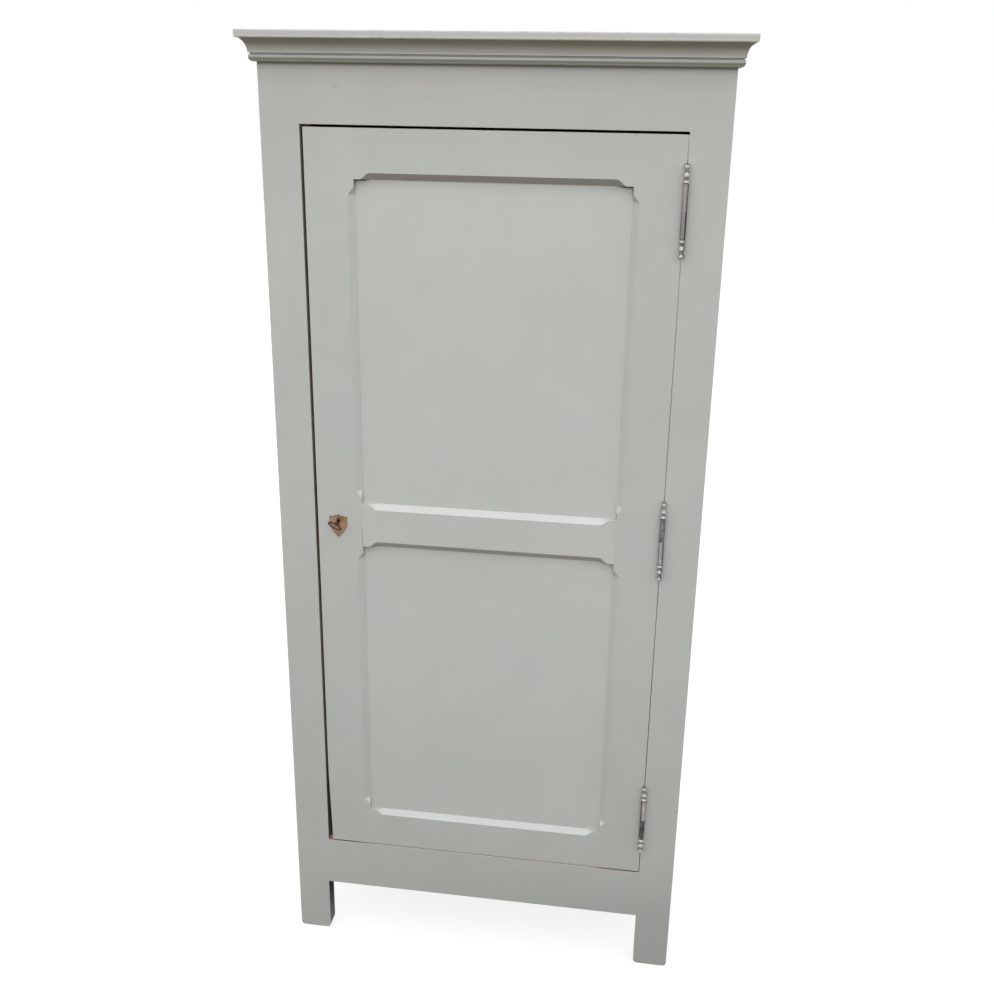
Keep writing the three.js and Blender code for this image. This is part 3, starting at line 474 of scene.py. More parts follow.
def pine_colour(finish, axis):
    """Old waxed pine: growth rings drawn out along the grain, fine fibres and darker patches."""
    shift = finish.product(finish.mark("board"), BOARD_SHIFT)
    shift = finish.add("CombineXYZ", {0: shift, 1: shift, 2: shift}).outputs[0]
    place = finish.add("VectorMath", {0: finish.place, 1: shift}, operation="ADD").outputs[0]
    warp = finish.noise(along(axis, 9, 0.9), detail=2, roughness=0.45, place=place)
    rings = finish.between(finish.math("SINE", finish.product(warp, RING_DENSITY)), -0.4, 1.0)
    fibres = finish.noise(along(axis, 900, 12), detail=2, roughness=0.6, place=place)
    patches = finish.noise(along(axis, 7, 1.6), detail=4, roughness=0.6, place=place)
    early = finish.mix(patches, *EARLY_WOOD)
    late = finish.mix(patches, *LATE_WOOD)
    wood = finish.mix(finish.product(rings, RING_SHARE), early, late)
    wood = finish.mix(finish.between(fibres, 0.35, 0.8, 0, 0.35), wood, FIBRES)
    relief = finish.total(finish.product(rings, 0.35), fibres)
    return wood, relief


def pine(name, axis):
    """Bare pine, dusty most of all on what faces up, with darker arrises."""
    finish = Finish(name)
    wood, relief = pine_colour(finish, axis)
    dust = finish.noise((5, 5, 5), detail=5, roughness=0.65)
    settled = finish.product(finish.between(finish.facing["Z"], 0.5, 0.95), DUST_ON_LEDGES)
    settled = finish.total(settled, finish.between(dust, 0.4, 0.9, 0, DUST_IN_PATCHES))
    wood = finish.mix(settled, wood, DUST)
    wood = finish.times(wood, finish.mark("tone"))
    wood = finish.mix(finish.product(finish.mark("edge"), HANDLED_SHARE), wood, HANDLED_WOOD)
    rough = finish.between(dust, 0.3, 0.8, 0.62, 0.85)
    return finish.shade(wood, rough, finish.bump(relief, WOOD_RELIEF))


def paint(name, axis):
    """Satin paint brushed along the grain. It stops short in the reveals, where old coats show."""
    finish = Finish(name)
    base, brush = greys(finish, axis)
    base = toned(finish, axis, base)
    base = dirtied_and_shaded(finish, axis, base)
    for blot in BLOTS.get(axis, ()):
        base = finish.blotted(base, *blot)
    ragged = finish.noise(along(axis, 120, 18), detail=4, roughness=0.6)
    depth = finish.total(finish.y, finish.product(ragged, WRAP_RAGGED))
    wrap = finish.between(depth, FRONT_Y + WRAP, FRONT_Y + WRAP + WRAP_BLUR, 1, 0)
    cover = finish.math("MAXIMUM", finish.mark("coat"), wrap)
    base = finish.mix(cover, under_paint(finish, axis), base)

    fine = finish.noise(along(axis, 1300, 30), detail=2, roughness=0.6)
    rough = finish.between(brush, 0.3, 0.7, 0.44, 0.52)
    rough = finish.total(rough, finish.between(cover, 0, 1, 0.25, 0))
    relief = finish.total(finish.product(brush, 0.7), finish.product(fine, 0.3))
    gloss = finish.between(finish.mark("soil"), 0, 0.4, 0.5, 0)
    return finish.shade(base, rough, finish.bump(relief, PAINT_RELIEF), **{"Specular IOR Level": gloss})


def under_paint(finish, axis):
    """What shows where the paint stops: old reddish and pale coats in the reveals, else bare wood."""
    wood, _ = pine_colour(finish, axis)
    old = finish.noise(along(axis, 130, 20), detail=5, roughness=0.65)
    ledge = finish.mix(finish.between(old, 0.4, 0.62), *OLD_REDS)
    wall = finish.mix(finish.between(old, 0.35, 0.65), *OLD_GREYS)
    browned = finish.between(finish.noise((1, 1, 9), detail=2), 0.55, 0.66, 0, 0.8)
    wall = finish.mix(browned, wall, OLD_BROWN)
    wall = finish.times(wall, finish.between(finish.z, *DARK_REVEAL_ZS, 0.5, 1))
    old_coat = finish.mix(finish.between(finish.facing["Z"], 0.3, 0.8), wall, ledge)
    reveal = finish.between(finish.y, *REVEAL_END_YS, 1, 0)
    reveal = finish.product(reveal, finish.between(finish.facing["Y"], 0.3, 0.7, 1, 0))
    return finish.mix(reveal, wood, old_coat)


def greys(finish, axis):
    """The paint's grey with its faint patches, and the brush marks in it."""
    mottle = finish.noise((3.1, 3.1, 3.1), detail=4, roughness=0.55)
    patch = finish.noise((17, 17, 11), distortion=0.4)
    brush = finish.noise(along(axis, 300, 6), roughness=0.55)
    tone = finish.total(finish.product(mottle, 0.6), finish.product(patch, 0.3), finish.product(brush, 0.1))
    base = finish.mix(finish.between(tone, 0.35, 0.65), *PAINT_GREYS)
    for scales, tint in (((6, 6, 4), WARM_GREY), ((7, 5, 5), COOL_GREY)):
        share = finish.between(finish.noise(scales), 0.5, 0.75, 0, 0.3)
        base = finish.mix(share, base, tint)
    return base, brush


def toned(finish, axis, base):
    """The grey with painted light on slopes and painted shade on undersides by height, painted shade
    towards the floor and to the right near it, partly dirt, and a tone from piece to piece.
    """
    rise = finish.facing["Z"]
    plain = finish.math("SUBTRACT", 1, finish.mark("moulded"))
    # Painted light on faces that slope up and painted shade on undersides, both left out on the cornice
    painted_light = finish.product(finish.band(rise, 0, 0.6, 0.75, 0.95), plain)
    base = finish.mix(painted_light, base, finish.times(base, finish.tinted(finish.z, PAINTED_LIGHT_ON_SLOPES)))
    painted_shade = finish.between(rise, -0.6, 0, 1 if axis == X else UPRIGHT_PAINTED_SHADE_SHARE, 0)
    painted_shade = finish.product(painted_shade, plain)
    base = finish.mix(painted_shade, base, finish.times(base, finish.tinted(finish.z, PAINTED_SHADE_UNDERNEATH)))
    # Painted shade, darker to the right near the floor
    shade_to_right = finish.product(finish.x, finish.between(finish.z, *SHADE_TO_RIGHT_ZS, SHADE_TO_RIGHT, 0))
    level = finish.total(1, shade_to_right)
    # Painted shade and dirt by height, darkest at the feet
    level = finish.product(level, finish.mark("tone"), finish.steps(finish.z, SHADE_AND_GRIME))
    return finish.times(base, level)


def dirtied_and_shaded(finish, axis, base):
    """The paint with soot, painted shade and painted highlights by height, worn arrises, painted shade and
    dirt on the feet, the line and smear under the door, and painted shade and dirt in the panels' corners.
    """
    # Soot with painted shade and painted highlights, by height on the frieze and the cornice
    soot_and_shade = [(CORNICE_Z + up * MM, soot_and_shade_of(*left)) for up, *left in SOOT_AND_SHADE]
    base = finish.times(base, finish.tinted(finish.z, soot_and_shade))
    worn = finish.product(finish.mark("edge"), finish.noise((46, 46, 46), detail=4, roughness=0.65))
    base = finish.mix(finish.between(worn, 0.52, 0.66, 0, 0.5), base, WORN_PAINT)
    # Painted shade and dirt on the feet's inner faces
    base = finish.mix(finish.mark("soil"), base, FOOT_SHADE_AND_DIRT)
    if axis == X:
        base = sill_line_and_smear(finish, base)
    if axis == Z:
        base = finish.mix(corner_shade_and_dirt(finish), base, CORNER_SHADE_AND_DIRT)
    return base


def soot_and_shade_of(level, red, yellow):
    """What soot, painted shade and painted highlights leave of a white."""
    return level * (1 + red), level, level * (1 - yellow)


def sill_line_and_smear(finish, base):
    """A line in the gap under the door, pale pink in the middle and darker brown at both ends, and old
    paint smeared just below it.
    """
    over = finish.math("SUBTRACT", finish.z, OPENING_BOTTOM)
    left_end = finish.between(finish.x, *SILL_LEFT_END, 1, 0)
    ends = finish.math("MAXIMUM", left_end, finish.between(finish.x, *SILL_RIGHT_END))
    line = finish.product(finish.band(over, *SILL_LINE), finish.between(ends, 0, 1, *SILL_LINE_SHARES))
    base = finish.mix(line, base, finish.mix(ends, SILL_RED, SILL_BROWN))
    smear = finish.between(finish.noise((70, 70, 300), roughness=0.6), 0.5, 0.6)
    smear = finish.product(smear, finish.between(ends, 0.2, 1, *SILL_SMEAR_SHARES))
    return finish.mix(finish.product(smear, finish.band(over, *SILL_SMEAR)), base, SMEARED_PAINT)


def corner_shade_and_dirt(finish):
    """Painted shade and dirt on a panel under the rail above it, thick in the two corners and down beside
    the stiles, with a soft haze of painted shade further out.
    """
    under = finish.math("SUBTRACT", finish.mark("sight_top"), finish.z)
    left = finish.math("SUBTRACT", finish.x, SIGHT_XS[0])
    right = finish.math("SUBTRACT", SIGHT_XS[1], finish.x)
    side = finish.math("MINIMUM", left, right)
    ragged = finish.product(finish.noise((160, 160, 160), roughness=0.6), SHADE_AND_DIRT_RAGGED)
    line = finish.between(finish.total(under, ragged), *LINE_UNDER_RAIL, 1, 0)
    line = finish.product(line, finish.between(side, *LINE_FROM_STILE, 1, 0.2))
    edge = finish.between(finish.total(side, ragged), *EDGE_FROM_STILE, 1, 0)
    edge = finish.product(edge, finish.between(under, *EDGE_UNDER_RAIL, 0.9, 0))
    haze = finish.between(under, *HAZE_UNDER_RAIL, 0.22, 0)
    haze = finish.product(haze, finish.between(side, *HAZE_FROM_STILE, 1, 0.4))
    dirt = finish.math("MAXIMUM", finish.math("MAXIMUM", line, edge), haze)
    return finish.product(dirt, finish.mark("dirt"))


def metal(name, bright, dull, rust, roughness):
    """Worn metal, from bright to browned by its tarnish, with painted shade that darkens it further on one
    marked side.
    """
    finish = Finish(name)
    patches = finish.noise((130, 130, 60), detail=4, roughness=0.62)
    spots = finish.noise((420, 420, 420), roughness=0.6)
    # Painted shade on the marked side, added into the wear below
    side = finish.product(finish.facing["X"], finish.mark("lean"))
    wear = finish.total(
        finish.mark("tarnish"),
        finish.between(patches, 0.3, 0.7, -0.1, 0.1),
        finish.between(spots, 0.3, 0.8, -0.08, 0.1),
        finish.between(side, 0.15, 0.75, 0, 0.5),
    )
    base = finish.mix(finish.between(wear, 0, 0.5), colour(bright), colour(dull))
    base = finish.mix(finish.between(wear, 0.5, 1), base, colour(rust))
    rough = finish.between(spots, 0.3, 0.7, roughness - 0.06, roughness + 0.1)
    rough = finish.total(rough, finish.math("MULTIPLY", wear, 0.2, clamp=True))
    return finish.shade(base, rough, finish.bump(spots, METAL_RELIEF), Metallic=1.0)


def brass(name):
    """Thin worn brass: greyer to the left, ochre to the right, brown at the foot and the keyhole."""
    finish = Finish(name)
    (left, _, foot), (right, _, head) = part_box("escutcheon")
    patches = finish.noise((260, 260, 260), roughness=0.6)
    across = finish.total(finish.x, finish.between(patches, 0.2, 0.8, -BRASS_UNEVEN, BRASS_UNEVEN))
    base = finish.mix(finish.between(across, left, right), *BRASS_SIDES)
    base = finish.mix(finish.between(finish.z, foot, head, 0.9, 0), base, BRASS_FOOT)
    base = finish.mix(finish.product(finish.mark("edge"), 0.65), base, BRASS_ARRIS)
    across = finish.math("ABSOLUTE", finish.math("SUBTRACT", finish.x, KEY_PLACE[0]))
    rise = finish.math("ABSOLUTE", finish.math("SUBTRACT", finish.z, KEY_PLACE[2] + KEYHOLE_RISE))
    reach = finish.total(across, finish.product(rise, KEYHOLE_SQUASH))
    base = finish.mix(finish.between(reach, *KEYHOLE_WEAR, 0.8, 0), base, KEYHOLE_BROWN)
    for x, (over, down, *size_and_look) in ((left, CORNER_SPOT), (KEY_PLACE[0], PEAK_SPOT)):
        base = finish.blotted(base, x + over, head - down, *size_and_look)
    rough = finish.between(patches, 0.3, 0.7, 0.38, 0.52)
    return finish.shade(base, rough, finish.bump(patches, BRASS_RELIEF), Metallic=1.0)


# Pieces

def merged(mesh):
    """The node's solid as one welded mesh with its flat faces whole."""
    solid = bmesh.new()
    solid.from_mesh(mesh)
    bmesh.ops.remove_doubles(solid, verts=solid.verts, dist=SAME_POINT)
    bmesh.ops.dissolve_limit(
        solid, angle_limit=FLAT_ANGLE, verts=solid.verts, edges=solid.edges, delimit=set(),
    )
    return solid


def node_shell(node):
    mesh = NODES[node].data
    mesh.calc_loop_triangles()
    vertices = [v.co.copy() for v in mesh.vertices]
    return vertices, [tuple(t.vertices) for t in mesh.loop_triangles]


SHELLS = {node: node_shell(node) for node in sorted(NODES)}
BACK_BOARDS = [node for node in SHELLS if node.startswith("back_board")]


def others(node):
    """A search tree of every other solid. Back boards leave each other out, and are eased all round."""
    left_out = BACK_BOARDS if node in BACK_BOARDS else [node]
    vertices, triangles = [], []
    for name, (points, faces) in SHELLS.items():
        if name not in left_out:
            start = len(vertices)
            vertices += points
            triangles += [tuple(i + start for i in face) for face in faces]
    return BVHTree.FromPolygons(vertices, triangles)


def is_arris(edge):
    if len(edge.link_faces) != 2:
        return False
    return edge.is_convex and edge.calc_face_angle(0) > ARRIS_ANGLE


def touches(tree, point):
    return tree.find_nearest(point, TOUCHING)[0] is not None


def contact(edge, tree):
    """Whether the edge begins in touch with another solid, and the shares of it where that changes."""
    start, end = (v.co.copy() for v in edge.verts)
    count = max(1, math.ceil((end - start).length / PROBE_STEP))
    states = [touches(tree, start.lerp(end, (i + 0.5) / count)) for i in range(count)]
    changes = []
    for i in range(count - 1):
        if states[i] != states[i + 1]:
            low, high = (i + 0.5) / count, (i + 1.5) / count
            for _ in range(PROBE_HALVINGS):
                middle = (low + high) / 2
                if touches(tree, start.lerp(end, middle)) == states[i]:
                    low = middle
                else:
                    high = middle
            changes.append((low + high) / 2)
    return states[0], changes


def free_arrises(solid, tree):
    """The solid's outward arrises, cut where they begin to touch another solid; the free ones."""
    free = []
    for edge in [e for e in solid.edges if is_arris(e)]:
        touching, changes = contact(edge, tree)
        done, vertex, rest = 0.0, edge.verts[0], edge
        for change in changes:
            _, new = bmesh.utils.edge_split(rest, vertex, (change - done) / (1 - done))
            pieces = [e for e in new.link_edges if vertex in e.verts]
            following = [e for e in new.link_edges if vertex not in e.verts]
            if not touching:
                free += pieces
            touching, done, vertex, rest = not touching, change, new, following[0]
        if not touching:
            free.append(rest)
    return free


RING_ANGLES = [RING_TURN + i * 2 * math.pi / RING_OF_RAYS for i in range(RING_OF_RAYS)]
LEANS = [(0, 0)] + [(math.cos(angle), math.sin(angle)) for angle in RING_ANGLES]


def is_outside(face, tree):
    """Whether a good part of the face can be seen from around the closed cupboard."""
    corners = [v.co for v in face.verts]
    side = face.normal.orthogonal().normalized()
    other = face.normal.cross(side)
    rays = [(face.normal + (side * u + other * v) * RAY_LEAN).normalized() for u, v in LEANS]
    in_view = 0.0
    for triangle in geometry.tessellate_polygon([corners]):
        a, b, c = (corners[i] for i in triangle)
        middle = (a + b + c) / 3 + face.normal * RAY_LIFT
        if sum(tree.ray_cast(middle, ray)[0] is None for ray in rays) >= FREE_RAYS:
            in_view += (b - a).cross(c - a).length / 2
    return in_view > IN_VIEW_SHARE * face.calc_area()


def is_back(face):
    """Whether the face is part of the cabinet's back, which isn't painted."""
    return face.normal.y > 0.9 and face.calc_center_median().y > BACK_Y - MM


def shaded_and_soiled(normal, corner):
    """How much painted shade and dirt a corner of a face takes: only the feet's inner faces take any, most
    of all under the rail.
    """
    inward = normal.x * corner.x < -0.5 * abs(corner.x)
    if not inward or corner.z > SKIRT_Z + MM:
        return 0.0
    return SHADE_AND_SOIL_AT_FLOOR + (1 - SHADE_AND_SOIL_AT_FLOOR) * corner.z / SKIRT_Z


def cut(solid, planes):
    """The solid's faces cut at (axis, level) planes."""
    for axis, level in planes:
        normal = Vector([float(i == axis) for i in range(3)])
        everything = solid.verts[:] + solid.edges[:] + solid.faces[:]
        bmesh.ops.bisect_plane(solid, geom=everything, plane_co=normal * level, plane_no=normal)


def eased(solid, tree, width):
    """Rounds the solid's free arrises, and says of each face whether it is painted and on an arris."""
    coat = solid.faces.layers.float.new("was_coat")
    solid.normal_update()
    for face in solid.faces:
        face[coat] = float(is_outside(face, tree) and not is_back(face))
    arris = solid.faces.layers.float.new("was_arris")
    made = bmesh.ops.bevel(
        solid, geom=free_arrises(solid, tree), offset=width, segments=2, profile=0.5,
        affect="EDGES", clamp_overlap=True,
    )
    for face in made["faces"]:
        face[arris] = 1
    bmesh.ops.remove_doubles(solid, verts=solid.verts, dist=WELD)
    bmesh.ops.dissolve_degenerate(solid, dist=WELD, edges=solid.edges)
    states = [(face[coat], face[arris]) for face in solid.faces]
    for name in ("was_coat", "was_arris"):
        solid.faces.layers.float.remove(solid.faces.layers.float[name])
    return states


def dressed(node, material, slot, ease, planes=(), **marks):
    """A copy of a node's solid with eased arrises, marked where it is painted and worn, and where the feet
    take painted shade and dirt.
    """
    solid = merged(NODES[node].data)
    cut(solid, planes)
    states = eased(solid, others(node), ease)
    mesh = bpy.data.meshes.new(node)
    solid.to_mesh(mesh)
    solid.free()
    names = ("coat", "edge", "soil")
    for name in names:
        mesh.attributes.new(name, "FLOAT", "CORNER")
    coat, edge, soil = (mesh.attributes[name].data for name in names)
    for polygon in mesh.polygons:
        painted, on_arris = states[polygon.index]
        for corner, vertex in zip(polygon.loop_indices, polygon.vertices):
            coat[corner].value = painted
            edge[corner].value = on_arris
            soil[corner].value = shaded_and_soiled(polygon.normal, mesh.vertices[vertex].co)
    even_normals(mesh, [on_arris for _, on_arris in states])
    shown(node, mesh, BODY_OF[node], material, slot, stands_for=node, **marks)


def even_normals(mesh, on_arris):
    """Shading normals weighed by area, so that broad faces stay flat and eased arrises look round."""
    meeting = [[] for _ in mesh.vertices]
    for polygon in mesh.polygons:
        for vertex in polygon.vertices:
            meeting[vertex].append(polygon)
    normals = []
    for polygon in mesh.polygons:
        for vertex in polygon.vertices:
            total = Vector()
            for other in meeting[vertex]:
                limit = EASED_ANGLE if on_arris[polygon.index] or on_arris[other.index] else SMOOTH_ANGLE
                if polygon.normal.dot(other.normal) > math.cos(limit):
                    total += other.normal * other.area
            normals.append(total.normalized() if total.length > 0 else polygon.normal.copy())
    mesh.polygons.foreach_set("use_smooth", [True] * len(mesh.polygons))
    mesh.normals_split_custom_set(normals)


def shown(name, mesh, body, material, slot, stands_for=None, **marks):
    """The mesh as a piece on a body. A mark is one value, or a function of a point."""
    for mark_name, value in marks.items():
        mark = mesh.attributes.new(mark_name, "FLOAT", "POINT")
        for vertex in mesh.vertices:
            mark.data[vertex.index].value = value(vertex.co) if callable(value) else value
    mesh.materials.append(material)
    made = linked("look_" + name, mesh)
    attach(made, body)
    if stands_for:
        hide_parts(stands_for)


def rounded(mesh):
    """Smooth shading, worked out from the faces."""
    solid = bmesh.new()
    solid.from_mesh(mesh)
    bmesh.ops.recalc_face_normals(solid, faces=solid.faces)
    solid.to_mesh(mesh)
    solid.free()
    mesh.polygons.foreach_set("use_smooth", [True] * len(mesh.polygons))


PAINT = {axis: paint(f"paint_{name}", axis) for axis, name in enumerate(AXIS_NAMES)}
PINE = {axis: pine(f"pine_{name}", axis) for axis, name in enumerate(AXIS_NAMES)}
STEEL = metal("hinge_steel", "C5C2BF", "8C8987", "393635", 0.3)
LOCK_STEEL = metal("lock_steel", "8F8D8A", "6C6966", "4A3E37", 0.42)
IRON = metal("dark_iron", "7D6661", "5A4643", "352829", 0.38)
BRASS = brass("worn_brass")

# Woodwork, by the axis that its grain follows
PAINTED = {
    Z: ["front_stile_left", "front_stile_right", "rear_post_left", "rear_post_right",
        "side_panel_left", "side_panel_right", "door_lock_stile", "door_hinge_stile",
        "door_panel_lower", "door_panel_upper"],
    X: ["top_rail", "bottom_rail", "cornice_front", "door_top_rail", "door_mid_rail",
        "door_bottom_rail"],
    Y: ["side_top_rail_left", "side_top_rail_right", "side_bottom_rail_left",
        "side_bottom_rail_right", "cornice_left", "cornice_right"],
}
BARE = {
    Z: ["back_board_1", "back_board_2", "back_board_3", "back_board_4", "door_stop"],
    X: ["back_top_rail", "back_bottom_rail", "floor_board", "top_board",
        "shelf_1", "shelf_2", "shelf_3"],
    Y: [f"cleat_{side}_{i}" for side in ("left", "right") for i in (1, 2, 3)],
}

# Boards along one axis are numbered, so that each has its own grain, and some have their own tone
FIRST_PAINTED_BOARD = 1.0
FIRST_BARE_BOARD = 11.0
TONES = {
    "door_panel_upper": 1.08, "door_panel_lower": 1.08, "door_mid_rail": 1.065,
    "door_bottom_rail": 1.03, "door_lock_stile": 1.015, "door_hinge_stile": 1.005,
    "back_board_1": 1.02, "back_board_2": 0.9, "back_board_3": 1.06, "back_board_4": 0.95,
    "back_top_rail": 0.93, "top_board": 0.96, "shelf_2": 0.95,
}

# The door's rails, the top of each panel that is in sight, and how strong the painted shade and dirt in the
# panels' corners are
MID_RAIL_BOTTOM, MID_RAIL_TOP = (corner.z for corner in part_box("door_mid_rail"))
TOP_RAIL_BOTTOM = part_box("door_top_rail")[0].z
SIGHT_TOPS = {"door_panel_lower": MID_RAIL_BOTTOM, "door_panel_upper": TOP_RAIL_BOTTOM}
PANEL_SHADE_AND_DIRT = {"door_panel_lower": 0.6, "door_panel_upper": 0.95}

# Where a piece's faces are cut, because its paint or its shading can change there
DOOR_RAIL_LEVELS = [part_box("door_bottom_rail")[1].z, MID_RAIL_BOTTOM, MID_RAIL_TOP, TOP_RAIL_BOTTOM]
LEVELS = {
    "front_stile": [SKIRT_Z, OPENING_BOTTOM, OPENING_TOP],
    "rear_post": [SKIRT_Z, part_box("floor_board")[0].z],
    "door_lock_stile": DOOR_RAIL_LEVELS,
    "door_hinge_stile": DOOR_RAIL_LEVELS,
}
BESIDE_SIDE_PANELS = ("front_stile", "rear_post", "side_top_rail", "side_bottom_rail")
PANEL_FACES = {"left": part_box("side_panel_left")[0].x, "right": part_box("side_panel_right")[1].x}

# Each hinge from the foot up: the tarnish of the case's knuckle and the side that takes painted shade,
# which is the right one where it is positive, then the same of the door's knuckle
HINGE_LOOKS = [
    ("lower", (0.88, 0.3), (0.36, -1.0)),
    ("middle", (0.36, 1.0), (0.72, 0.3)),
    ("upper", (0.5, 1.0), (0.42, 0.7)),
]
# The pins' side of painted shade, as for the knuckles
PIN_PAINTED_SHADE_SIDE = 0.3
KNUCKLE_LENGTH = 42.5 * MM
KNUCKLE_END = 0.2 * MM
KNUCKLE_PLAY = 0.1 * MM

# A finial's tarnish grows from where its beads stand out, by share of its radius, into its hollows
FINIAL_RADIUS = 5.3 * MM
FINIAL_TARNISH = 0.64
BEAD_SHARE = 0.97
HOLLOW_SHARE = 0.5
LOCK_TARNISH = 0.35
KEY_TARNISH = 0.45

# The paint that fills the joint on the hinge side: how light it is by height, which is painted shade of the
# gap, darkest low down, then its section, its gaps at the ends of each length, and the waves in its face,
# each as a rate and a swing
SEAM_PAINTED_SHADE = [(0, 0.06), (0.3, 0.08), (0.55, 0.2), (0.85, 0.55), (1.2, 0.6), (1.35, 0.95), (1.75, 1)]
SEAM_STEP = 8 * MM
SEAM_DEPTH = 0.55 * MM
SEAM_THICKNESS = 2 * MM
SEAM_DOOR_GAP = 0.1 * MM
SEAM_DOOR_SETBACK = 0.1 * MM
SEAM_HOLLOW = 0.3 * MM
SEAM_HINGE_GAP = 1 * MM
SEAM_FOOT_GAP = 3 * MM
SEAM_HEAD_GAP = 5 * MM
LONG_WAVE = (131, 0.12 * MM)
SHORT_WAVE = (347, 0.1 * MM)

# The lump of paint above the escutcheon
DRIP_X = -0.2864
DRIP_Z = 0.9336
DRIP_HALF_WIDTH = 1.7 * MM
DRIP_HALF_HEIGHT = 0.75 * DRIP_HALF_WIDTH
DRIP_DEPTH = 0.7 * MM
DRIP_TONE = 1.25


def cut_planes(node):
    """The planes at which a node's faces are cut."""
    planes = [(Z, z) for start, zs in LEVELS.items() if node.startswith(start) for z in zs]
    if node.startswith(BESIDE_SIDE_PANELS):
        planes.append((X, PANEL_FACES[node.split("_")[-1]]))
    return planes


def woodwork():
    for axis, nodes in PAINTED.items():
        for i, node in enumerate(nodes):
            dressed(
                node, PAINT[axis], "painted_wood", PAINTED_EASE, cut_planes(node),
                board=FIRST_PAINTED_BOARD + i, tone=TONES.get(node, 1.0),
                moulded=float(node.startswith("cornice")),
                sight_top=SIGHT_TOPS.get(node, 0.0), dirt=PANEL_SHADE_AND_DIRT.get(node, 0.0),
            )
    for axis, nodes in BARE.items():
        for i, node in enumerate(nodes):
            board = FIRST_BARE_BOARD + i
            dressed(node, PINE[axis], "bare_wood", BARE_EASE, board=board, tone=TONES.get(node, 1.0))


def hinge_wear(place, case_tarnish, door_tarnish):
    """A hinge's tarnish by the point: its two knuckles each their own, its finials ringed."""
    low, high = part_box(f"hinge_{place}_pin")
    axis_x, axis_y = (low.x + high.x) / 2, (low.y + high.y) / 2
    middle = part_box(f"hinge_{place}_door_leaf")[0].z

    def wear(point):
        rise = point.z - middle
        if abs(rise) < KNUCKLE_LENGTH:
            return door_tarnish if rise > -KNUCKLE_PLAY else case_tarnish
        reach = math.hypot(point.x - axis_x, point.y - axis_y) / FINIAL_RADIUS
        return min(FINIAL_TARNISH, max(0.0, (BEAD_SHARE - reach) / HOLLOW_SHARE))

    ends = [(Z, middle + side * (KNUCKLE_LENGTH - KNUCKLE_END)) for side in (-1, 1)]
    return wear, ends


def hinges():
    for place, case_look, door_look in HINGE_LOOKS:
        wear, ends = hinge_wear(place, case_look[0], door_look[0])
        for part, lean in (("case_leaf", case_look[1]), ("door_leaf", door_look[1]), ("pin", PIN_PAINTED_SHADE_SIDE)):
            node = f"hinge_{place}_{part}"
            dressed(node, STEEL, "hinge_steel", METAL_EASE, ends, tarnish=wear, lean=lean)


def ironwork():
    for node in ("lock_case", "lock_cover", "lock_spring", "strike_plate", "lock_bolt"):
        dressed(node, LOCK_STEEL, "lock_steel", METAL_EASE, tarnish=LOCK_TARNISH)
    dressed("key", IRON, "dark_iron", METAL_EASE, tarnish=KEY_TARNISH)
    dressed("escutcheon", BRASS, "worn_brass", METAL_EASE)


def seam_painted_shade(point):
    """How light the seam's paint is at a point's height: painted shade of the gap, darker lower down."""
    for (low, first), (high, last) in zip(SEAM_PAINTED_SHADE, SEAM_PAINTED_SHADE[1:]):
        if low <= point.z <= high:
            return first + (last - first) * (point.z - low) / (high - low)
    return 1.0


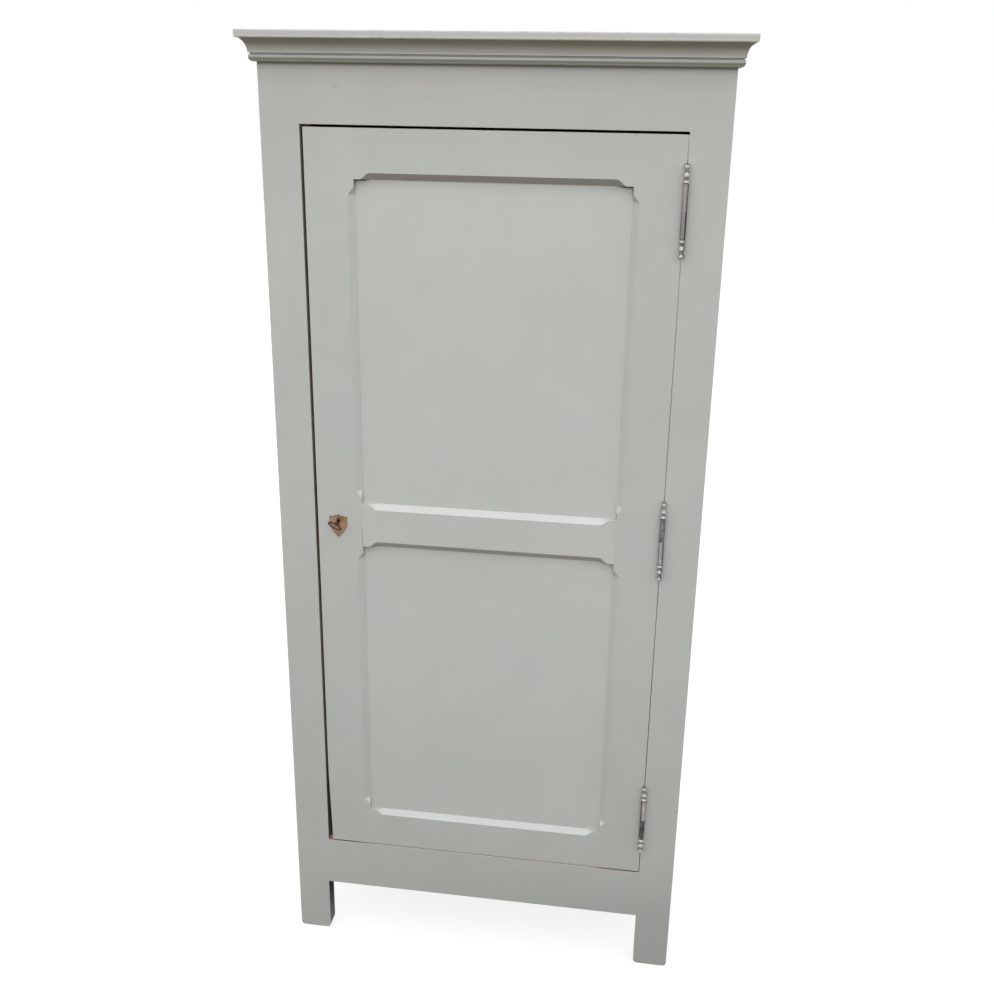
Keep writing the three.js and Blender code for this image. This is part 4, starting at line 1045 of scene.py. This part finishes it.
def seam_mesh(name, foot, head, phase):
    """One length of the paint in the joint, a bar with an uneven face."""
    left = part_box("door_hinge_stile")[1].x + SEAM_DOOR_GAP
    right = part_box("front_stile_right")[0].x
    count = math.ceil((head - foot) / SEAM_STEP)
    points = []
    for j in range(count + 1):
        z = foot + (head - foot) * j / count
        long_wave = LONG_WAVE[1] * math.sin(LONG_WAVE[0] * z + phase)
        short_wave = SHORT_WAVE[1] * math.sin(SHORT_WAVE[0] * z)
        front = FRONT_Y + SEAM_DEPTH + long_wave + short_wave
        back = front + SEAM_THICKNESS
        points += [
            (left, front + SEAM_DOOR_SETBACK, z), ((left + right) / 2, front + SEAM_HOLLOW, z),
            (right, front, z), (right, back, z), (left, back, z),
        ]
    around = len(points) // (count + 1)
    last = around * count
    faces = [tuple(range(around)), tuple(range(last + around - 1, last - 1, -1))]
    for start in range(0, last, around):
        for k in range(around):
            a, b = start + k, start + (k + 1) % around
            faces.append((a, b, b + around, a + around))
    mesh = bpy.data.meshes.new(name)
    mesh.from_pydata(points, [], faces)
    rounded(mesh)
    return mesh


def seams():
    """Old paint that has filled the joint on the hinge side, in lengths between the hinges."""
    ends = [OPENING_BOTTOM + SEAM_FOOT_GAP]
    for place, _, _ in HINGE_LOOKS:
        ends.append(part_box(f"hinge_{place}_case_leaf")[0].z - SEAM_HINGE_GAP)
        ends.append(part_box(f"hinge_{place}_pin")[1].z + SEAM_HINGE_GAP)
    ends.append(OPENING_TOP - SEAM_HEAD_GAP)
    for i, (foot, head) in enumerate(zip(ends[::2], ends[1::2])):
        name = f"paint_seam_{i + 1}"
        mesh = seam_mesh(name, foot, head, i)
        shown(
            name, mesh, "case", PAINT[Z], "painted_wood",
            board=FIRST_PAINTED_BOARD, coat=1.0, tone=seam_painted_shade,
        )


def paint_drip():
    """A lump of paint on the door above the escutcheon's corner."""
    solid = bmesh.new()
    bmesh.ops.create_icosphere(solid, subdivisions=3, radius=1)
    for vertex in solid.verts:
        x, y, z = vertex.co
        swell = 1 + 0.16 * math.sin(3 * x + 1) * math.cos(2 * z) + 0.1 * math.sin(5 * z + 2)
        vertex.co = Vector((
            DRIP_X + DRIP_HALF_WIDTH * swell * x,
            FRONT_Y + DRIP_DEPTH * y,
            DRIP_Z + DRIP_HALF_HEIGHT * swell * z,
        ))
    mesh = bpy.data.meshes.new("paint_drip")
    solid.to_mesh(mesh)
    solid.free()
    rounded(mesh)
    shown(
        "paint_drip", mesh, "door", PAINT[Z], "painted_wood",
        board=FIRST_PAINTED_BOARD, coat=1.0, tone=DRIP_TONE,
    )


bpy.context.scene.view_settings.view_transform = "Standard"
camera()
world()
lamp()
floor()
woodwork()
hinges()
ironwork()
seams()
paint_drip()
